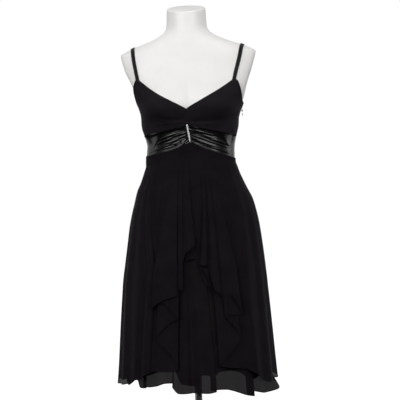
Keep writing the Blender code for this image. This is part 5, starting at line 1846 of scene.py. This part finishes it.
@dataclass(frozen=True)
class Skirt:
    """Overlay, underskirt and lining, front and back, with rolled hems."""

    surface: FormSurface
    sections: tuple[SkirtSection, ...] = SKIRT_SECTIONS
    power: float = 2.15
    top: float = 0.955
    lowest: float = 0.298
    growth_power: float = 1.35
    swing_power: float = 1.6
    stand_power: float = 1.1
    lining_fold: float = 0.004
    underskirt_fold: float = 0.013
    lining_hem: float = 0.35
    lining_waves: int = 9
    back_folds: int = 7
    back_uneven: float = math.radians(4.0)
    hem_wave: float = 0.003
    cascade_formed: float = 0.625
    side_formed: float = 0.33
    cascade_edges: tuple[float, float] = (math.radians(44), math.radians(60))
    even_share: float = 0.6
    gather_depth: float = 0.0003
    gather_reach: float = 0.045  # height below the band over which they die away
    lining_wall: float = 0.0005
    lining_tuck: float = 0.0003
    hem_radius: float = 0.001
    waist_rounding: float = 0.0004
    puckers: tuple[Crease, ...] = (  # a few under the band's right half
        Crease(-0.093, 0.92, -0.068, 0.927, 0, 0.0012, 0.0022, 0.0014),
        Crease(-0.08, 0.912, -0.06, 0.919, 0, 0.0008, 0.0022, 0.0014),
    )
    flick_out: float = 0.018
    flick_top: float = 0.336
    flick_bottom: float = 0.29
    flick_at: float = math.radians(84)
    flick_spread: float = math.radians(13)

    def growth(self, z: Grid) -> Grid:
        """How far the folds have opened: a power of the share of the way to the hem."""
        return np.clip((self.top - z) / (self.top - self.lowest), 0, 1) ** self.growth_power

    def inner(self, theta: Grid, z: Grid) -> Grid:
        """The innermost radius: the skirt's own oval, but never inside the form.

        Args:
            theta, z: angles and heights.

        Returns:
            The radii.
        """
        front, back = column(self.sections, "front", z), column(self.sections, "back", z)
        cut = oval_radius(theta, side_column(self.sections, theta, z), front, back, self.power)
        body = self.surface.dressed(theta, np.maximum(z, FORM_BOTTOM)) + EASE
        return np.where(z < FORM_BOTTOM, cut, -smooth_least(-cut, -body, self.waist_rounding))

    def underskirt(self, theta: Grid, z: Grid) -> Grid:
        """The underskirt's radius where its folds lie deepest: outside the lining."""
        room = CHIFFON_ROOM * 1.5 + LAYER_GAP
        return self.inner(theta, z) + room + self.lining_fold * self.growth(z)

    def flick(self, theta: Grid, z: Grid) -> Grid:
        """The kick of the underskirt's hem at the left: a bell in angle, eased in height."""
        down = ease((self.flick_top - z) / (self.flick_top - self.flick_bottom))
        return self.flick_out * down * np.exp(-(((theta - self.flick_at) / self.flick_spread) ** 2))

    def overlay(self, theta: Grid, z: Grid) -> Grid:
        """The overlay's radius where its folds lie deepest: outside the underskirt."""
        room = CHIFFON_ROOM + LAYER_GAP + self.underskirt_fold * self.growth(z)
        return self.underskirt(theta, z) + room

    def back_turns(self, out: tuple[float, float], hem: float, drop: float,
                   front: tuple[Turn, ...]) -> tuple[Turn, ...]:
        """Turns of a layer's back, from the left seam round to the right.

        Valley and ridge take turns, and slow sines make them uneven in place, depth
        and hem. The hem sinks by the drop times a sine of the way round.

        Args:
            out: how far valleys and ridges stand out, in millimetres.
            hem: height of the hem at the sides.
            drop: how much lower it hangs at the middle of the back.
            front: the turns of the layer's front, whose ends it meets at the seams.

        Returns:
            The turns.
        """
        index = np.arange(2 * self.back_folds + 1)
        share = index / (2 * self.back_folds)
        stray = self.back_uneven * np.sin(2.3 * index) * np.sin(math.pi * share)
        angle = np.degrees(QUARTER + math.pi * share + stray)
        stand = np.where(index % 2 == 1, out[1] * (0.82 + 0.18 * np.cos(1.7 * index)), out[0])
        wave = self.hem_wave * (np.cos(math.pi * index) + np.sin(0.9 * index))
        height = hem - drop * np.sin(math.pi * share) + wave
        stand[0], height[0] = front[-1].out, front[-1].hem
        stand[-1], height[-1] = front[0].out, front[0].hem
        return tuple(Turn(*row) for row in zip(angle, stand, height))

    def hanging(self, panel: Panel) -> Grid:
        """Points of a panel's middle surface.

        A curve through the turns gives each thread's angle, stand-out and hem. A
        thread's angle at the waist is partly in step with the length of cloth before
        it and partly near its own. It swings to its own with a power of its way down,
        and stands out with another. Fine gathers die away below the waist.

        Args:
            panel: which one.

        Returns:
            rows x columns x 3.
        """
        table = np.array(panel.turns)
        curve = through(table * np.array([math.radians(1), 0.001, 1.0]), panel.steps)
        angle, stand, hem = curve.T
        run = np.concatenate([[0], np.cumsum(np.abs(np.diff(angle)) + 0.008 / panel.steps)])
        evenly = angle[0] + (angle[-1] - angle[0]) * run / run[-1]
        furthest = np.maximum.accumulate(angle) + np.minimum.accumulate(angle[::-1])[::-1]
        evenly = evenly * self.even_share + furthest / 2 * (1 - self.even_share)
        seam = SEAM_HALF / WAIST_REACH * np.linspace(1, -1, len(evenly))
        evenly, angle = evenly + seam, angle + seam
        top = BAND_BOTTOM.height(evenly) + TUCK
        share = np.linspace(0, 1, panel.rows)[:, None] ** 1.08
        z = top + (hem - top) * share
        low, high = self.cascade_edges
        near = float(panel.cascade) * (1 - ease((np.abs(angle) - low) / (high - low)))
        formed = self.side_formed + (self.cascade_formed - self.side_formed) * near
        shape = np.clip((top - z) / (top - formed), 0, 1)
        swing = shape ** (self.growth_power + (self.swing_power - self.growth_power) * near)
        growth = shape ** (self.growth_power + (self.stand_power - self.growth_power) * near)
        theta = evenly + (angle - evenly) * swing
        if panel.overlay:
            base = self.overlay(theta, z)
        else:
            base = self.underskirt(theta, z) + self.flick(theta, z)
        beat = np.cos(90 * evenly + 4 * np.sin(11 * evenly)) + 0.6 * np.cos(41 * evenly + 1.3)
        fine = self.gather_depth * (1.6 + beat) * np.exp(-(top - z) / self.gather_reach)
        radius = base + stand * growth + fine * float(panel.overlay)
        puckers = creased(self.puckers, radius * np.sin(theta), z) * float(panel.cascade)
        return self.surface.points(theta, z, radius + puckers)

    def hem_roll(self, name: str, middle: Grid, finish: Material) -> Object:
        """A narrow rolled hem along the last row of a panel's middle surface."""
        rings = carried(middle[-1], outward_of(middle)[-1], disc(self.hem_radius, 8))
        return dress(Stock().tube(rings).piece(name, sharp=70.0), finish)

    def panel(self, panel: Panel, finish: Material, hem: Material) -> None:
        """One chiffon panel with its hem.

        Args:
            panel: which one.
            finish, hem: materials of the cloth and its hem.
        """
        middle = self.hanging(panel)
        piece = dress(shell(panel.name, middle, CHIFFON_WALL), finish, (panel.node,))
        roll = self.hem_roll(panel.name + "_hem", middle, hem)

    def lining_edge(self, theta: Grid) -> Grid:
        """Height of the lining's hem: a curve through its table in front, waves behind.

        Args:
            theta: angles.

        Returns:
            The heights.
        """
        angle, hem = through(np.array(LINING_HEM), 8, 0.3).T
        waves = self.lining_hem + self.hem_wave * np.cos(self.lining_waves * theta)
        return np.where(np.cos(theta) > 0, np.interp(np.degrees(theta), angle, hem), waves)

    def lining(self, name: str, node: str, first: float, finish: Material) -> None:
        """One lining panel: half a turn of the innermost surface with shallow waves.

        Args:
            name: the piece's name.
            node: what it stands for.
            first: the angle where it starts.
            finish: its material.
        """
        inset = SEAM_HALF / WAIST_REACH
        theta = np.linspace(first + inset, first + math.pi - inset, 120)[None, :]
        top = BAND_BOTTOM.height(theta) - self.lining_tuck
        z = top + (self.lining_edge(theta) - top) * np.linspace(0, 1, 70)[:, None]
        wave = 0.5 + 0.5 * np.cos(self.lining_waves * theta)
        fold = self.lining_fold * 0.9 * self.growth(z) * wave
        middle = self.surface.points(theta, z, self.inner(theta, z) + CHIFFON_ROOM / 2 + fold)
        piece = dress(shell(name, middle, self.lining_wall), finish, (node,))
        roll = self.hem_roll(name + "_hem", middle, finish)

    def build(self, chiffon: Material, sheer: Material,
              hem: Material, lining: Material) -> None:
        """Builds the six panels.

        Args:
            chiffon: the overlay's finish.
            sheer: the underskirt's.
            hem: its rolled hems'.
            lining: the lining's.
        """
        over_back = self.back_turns((4.0, 16.0), 0.32, 0.0, OVERLAY_FRONT)
        under_back = self.back_turns((3.0, 12.0), 0.301, -0.024, UNDERSKIRT_FRONT)
        panels = (
            Panel("overlay_front_panel", "overlay_front", OVERLAY_FRONT, True, True, 6, 118,
                  (1.3, 0.64), 0.46),
            Panel("overlay_back_panel", "overlay_back", over_back, True, False, 14, 110,
                  (0.78, 0.64), 0.36),
            Panel("underskirt_front_panel", "underskirt_front", UNDERSKIRT_FRONT, False, False,
                  10, 110, (0.84, 0.66), 0.36),
            Panel("underskirt_back_panel", "underskirt_back", under_back, False, False, 12, 100,
                  (0.72, 0.64), 0.35),
        )
        for panel in panels:
            self.panel(panel, *((chiffon, chiffon) if panel.overlay else (sheer, hem)))
        self.lining("lining_front_panel", "lining_front", -QUARTER, lining)
        self.lining("lining_back_panel", "lining_back", QUARTER, lining)


# ---- sewing and zip
@dataclass(frozen=True)
class Sewing:
    """Rows of stitches that lie on the cloth beside its seams and edges."""

    surface: FormSurface
    bodice: Bodice
    pitch: float = 0.003
    length: float = 0.0021
    radius: float = 0.00017
    below_binding: float = 0.0012
    below_back: float = 0.006
    inset: float = 0.02  # from straps and seams, in radians
    centre_inset: float = 0.03

    def row(self, stock: Stock, path: Grid, out: Grid) -> None:
        """Adds a row of stitches: short six-sided spindles along a path.

        Args:
            stock: what gets them.
            path, out: the seam's points and outward directions.
        """
        run = lengths(path, 0)
        starts = np.arange(self.pitch / 2, run[-1] - self.length, self.pitch)
        shares = np.array([0.0, 0.25, 0.75, 1.0])
        swell = np.array([0.25, 1.0, 1.0, 0.25])[:, None, None]
        profile = disc(self.radius, 6)[None, :, :] * swell
        for start in starts:
            wanted = start + shares * self.length
            facing = read_along(out, run, wanted)
            stock.tube(carried(read_along(path, run, wanted), facing, profile))

    def edge(self, stock: Stock, side: BodiceSide, first: float, last: float) -> None:
        """A row just under the cup's bound edge, between two bearings.

        Args:
            stock: what gets it.
            side: the cup's.
            first, last: the bearings.
        """
        theta = side.side.value * np.linspace(first, last, 300)
        edge = self.bodice.top_edge(side, theta)
        z = edge - self.bodice.binding_width - self.below_binding
        path = evenly_spaced(self.bodice.middle(theta, z, ON_BODICE), 300)
        self.row(stock, path, self.surface.outward(path))

    def build(self, thread: Material) -> None:
        """Builds the rows along the neckline, the armholes and the back's top edge.

        Args:
            thread: its material.
        """
        stock = Stock()
        for side in BODICE_SIDES:
            inner, outer = self.bodice.strap_angles(side)
            self.edge(stock, side, self.centre_inset, inner - self.inset)
            self.edge(stock, side, outer + self.inset, QUARTER - self.inset)
        theta = np.linspace(QUARTER + self.inset, 1.5 * math.pi - self.inset, 500)
        z = self.bodice.back_edge(theta) - self.below_back
        path = evenly_spaced(self.bodice.middle(theta, z, ON_BODICE), 400)
        self.row(stock, path, self.surface.outward(path))
        dress(stock.piece("edge_stitches", sharp=80.0), thread)


@dataclass(frozen=True)
class SideZip:
    """The zip in the left side seam: its closed teeth, the slider and the pull tab."""

    surface: FormSurface
    bodice: Bodice
    teeth_bottom: float = 0.976
    teeth_top: float = 1.034
    tooth_pitch: float = 0.0014
    tooth_reach: float = 0.001  # half a tooth's length
    tooth_sway: float = 0.0005
    tooth_radius: float = 0.00045

    def teeth(self) -> Stock:
        """Closed coil teeth down the seam: small ovals, left and right in turn.

        Returns:
            The teeth.
        """
        stock = Stock()
        heights = np.arange(self.teeth_bottom, self.teeth_top, self.tooth_pitch)
        side = np.full_like(heights, QUARTER)
        path = self.bodice.middle(side, heights, ON_BODICE)
        out = self.surface.outward(path)
        swell = np.array([0.4, 1, 0.4])[:, None, None]
        oval = disc(self.tooth_radius, 8)[None, :, :] * swell
        for number, (spot, facing) in enumerate(zip(path, out)):
            sway = self.tooth_sway if number % 2 else -self.tooth_sway
            reach = self.tooth_reach
            ends = spot + np.array([[0, sway - reach, 0], [0, sway, 0], [0, sway + reach, 0]])
            stock.tube(carried(ends, np.repeat(facing[None, :], 3, axis=0), oval))
        return stock

    def build(self, metal: Material, coil: Material) -> None:
        """Builds the teeth, and gives the slider and the tab of the frame their metal.

        Args:
            metal: of the slider and the tab.
            coil: of the teeth.
        """
        dress(self.teeth().piece("zip_teeth", sharp=70.0), coil)
        for name in ("zip_slider", "zip_pull_tab"):
            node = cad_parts[name]
            node.data.materials.clear()
            node.data.materials.append(metal)
            LOG.info("%s keeps its own shape", name)


# ---- studio
@dataclass(frozen=True)
class Lamp:
    """A soft rectangular lamp and what it is turned to."""

    name: str
    place: Three
    target: Three
    size: tuple[float, float]
    power: float

    def build(self) -> None:
        """Adds the lamp to the scene."""
        data = bpy.data.lights.new(self.name, "AREA")
        data.shape = "RECTANGLE"
        data.size, data.size_y = self.size
        data.energy = self.power
        made = bpy.data.objects.new(self.name, data)
        made.location = self.place
        way = Vector(self.target) - Vector(self.place)
        made.rotation_euler = way.to_track_quat("-Z", "Y").to_euler()
        bpy.context.scene.collection.objects.link(made)


@dataclass(frozen=True)
class Studio:
    """A white room: pale floor, bright surroundings, soft lamps, and the camera."""

    azimuth: float = math.radians(2.5)
    roll: float = math.radians(2.0)
    distance: float = 3.6
    camera_z: float = 0.8
    aside: float = 0.0219  # how far right of the pole the camera is aimed
    focal: float = 120.0
    floor_radius: float = 9.0
    floor_drop: float = 0.0005  # keeps it clear of the base
    lamps: tuple[Lamp, ...] = (
        Lamp("key", (-1.8, -2.9, 2.15), (0.0, 0.0, 1.0), (2.8, 2.2), 76.0),
        Lamp("fill", (2.1, -2.7, 1.9), (0.0, 0.0, 1.0), (2.8, 2.2), 60.0),
        Lamp("front", (0.15, -3.3, 2.0), (0.0, 0.0, 1.0), (0.35, 0.25), 6.0),
        Lamp("top", (0.0, -0.6, 3.4), (0.0, 0.0, 0.9), (1.6, 1.2), 12.0),
        Lamp("right_side", (-2.45, 0.1, 0.6), (0.0, 0.0, 0.9), (1.0, 1.6), 4.6),
        Lamp("left_side", (2.35, 0.8, 0.6), (0.0, 0.0, 0.9), (1.0, 1.6), 6.6),
    )

    def world(self) -> None:
        """Surroundings: white to look at, and as a light brighter behind than in front."""
        world = bpy.data.worlds.new("white_room")
        bpy.context.scene.world = world
        nodes = Nodes(world)
        away = nodes.node("SeparateXYZ", "Y", {0: nodes.node("TexCoord", "Generated", {})})
        inputs = {"Value": away, "From Min": -0.35, "From Max": 0.55, "To Min": 0.1, "To Max": 0.6}
        spread = nodes.node("MapRange", "Result", inputs, interpolation_type="SMOOTHSTEP")
        seen = nodes.node("LightPath", "Is Camera Ray", {})
        ground = nodes.tree.nodes["Background"]
        nodes.feed(ground.inputs["Strength"], nodes.math("MAXIMUM", spread, seen))
        ground.inputs["Color"].default_value = (1.0, 1.0, 1.0, 1.0)

    def floor(self) -> None:
        """A pale disc under the stand, which sends little light back up."""
        rings = turned(np.array([[self.floor_radius, 0.0], [self.floor_radius * 0.5, 0.0]]), 96)
        piece = Stock().tube(rings - np.array([0, 0, self.floor_drop])).piece("floor")
        graph = Graph("floor_pale")
        dust = graph.noise(graph.place(), 0.4, 4.0)
        seen = graph.node("LightPath", "Is Camera Ray", {})
        graph.set(
            Base_Color=graph.tint(dust, (0.42, 0.42, 0.42), (0.46, 0.46, 0.46)),
            Roughness=graph.spread(dust, 0.6, 0.75),
            Emission_Color=(1.0, 1.0, 1.0, 1.0),
            Emission_Strength=graph.math("MULTIPLY", seen, 1.1),
        )
        piece.data.materials.append(graph.material)

    def camera(self) -> None:
        """The camera: level, a little to the wearer's left, and turned about its own axis."""
        right = np.array([math.cos(self.azimuth), math.sin(self.azimuth), 0.0])
        ahead = np.array([-math.sin(self.azimuth), math.cos(self.azimuth), 0.0])
        up = np.array([0.0, 0.0, 1.0])
        place = right * self.aside + up * self.camera_z - ahead * self.distance
        turn_x = right * math.cos(self.roll) - up * math.sin(self.roll)
        turn_y = right * math.sin(self.roll) + up * math.cos(self.roll)
        data = bpy.data.cameras.new("camera")
        data.lens = self.focal
        data.sensor_width = 36.0
        made = bpy.data.objects.new("camera", data)
        matrix = np.eye(4)
        matrix[:3, 0], matrix[:3, 1], matrix[:3, 2], matrix[:3, 3] = turn_x, turn_y, -ahead, place
        made.matrix_world = Matrix(matrix.tolist())
        bpy.context.scene.collection.objects.link(made)
        bpy.context.scene.camera = made

    def build(self) -> None:
        """Sets the room up."""
        bpy.context.scene.view_settings.view_transform = "Standard"
        self.world()
        self.floor()
        for lamp in self.lamps:
            lamp.build()
        self.camera()


def corners(box: tuple) -> list[list[float]]:
    """A box's two corners as plain lists of numbers."""
    return [[float(value) for value in corner] for corner in box]


def main() -> None:
    """Builds the studio, the form, the stand and the dress."""
    logging.basicConfig(level=logging.INFO, format="%(name)s: %(message)s")
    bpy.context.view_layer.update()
    Studio().build()
    surface = FormSurface()
    chiffon = Chiffon("chiffon_overlay", opacity=0.8, gaps=0.22, specular=0.1).material()
    sheer = Chiffon("chiffon_underskirt", opacity=0.878, gaps=0.16, specular=0.1,
                    dark=(0.0034, 0.0022, 0.0032), pale=(0.0064, 0.0042, 0.006)).material()
    ground = Chiffon("chiffon_on_ground", dark=(0.0056, 0.0042, 0.0057),
                     pale=(0.0106, 0.0082, 0.0108)).material()
    satin = Satin().material()
    strap_satin = Satin(name="satin_strap", ribs=0.00008, roughness=0.5, specular=0.18,
                        pale=(0.0075, 0.0075, 0.0083)).material()
    hem = Chiffon("chiffon_rolled", dark=(0.002, 0.0018, 0.0022),
                  pale=(0.004, 0.0036, 0.0044), specular=0.05, sheen=0.0).material()
    lining = LiningCloth().material()
    metal = CastMetal(worn=(0.3, 0.3, 0.29), bright=(0.44, 0.44, 0.45)).material()
    DressForm(surface).build(FormShell())
    Stand().build(TurnedSteel(), TurnedSteel(name="steel_base", stretch=(1.0, 1.0, 1.0)))
    bodice = Bodice(surface)
    bodice.build(ground, satin)
    Straps(surface, bodice).build(strap_satin)
    MidriffBand(surface).build(satin)
    silver = CastMetal(name="bar_silver", metallic=0.3, worn=(0.74, 0.74, 0.75)).material()
    JewelledBar(surface).build(silver, FoiledGlass().material())
    Skirt(surface).build(chiffon, sheer, hem, lining)
    Sewing(surface, bodice).build(hem)
    SideZip(surface, bodice).build(metal, LiningCloth(name="zip_coil").material())


if __name__ == "__main__":
    main()
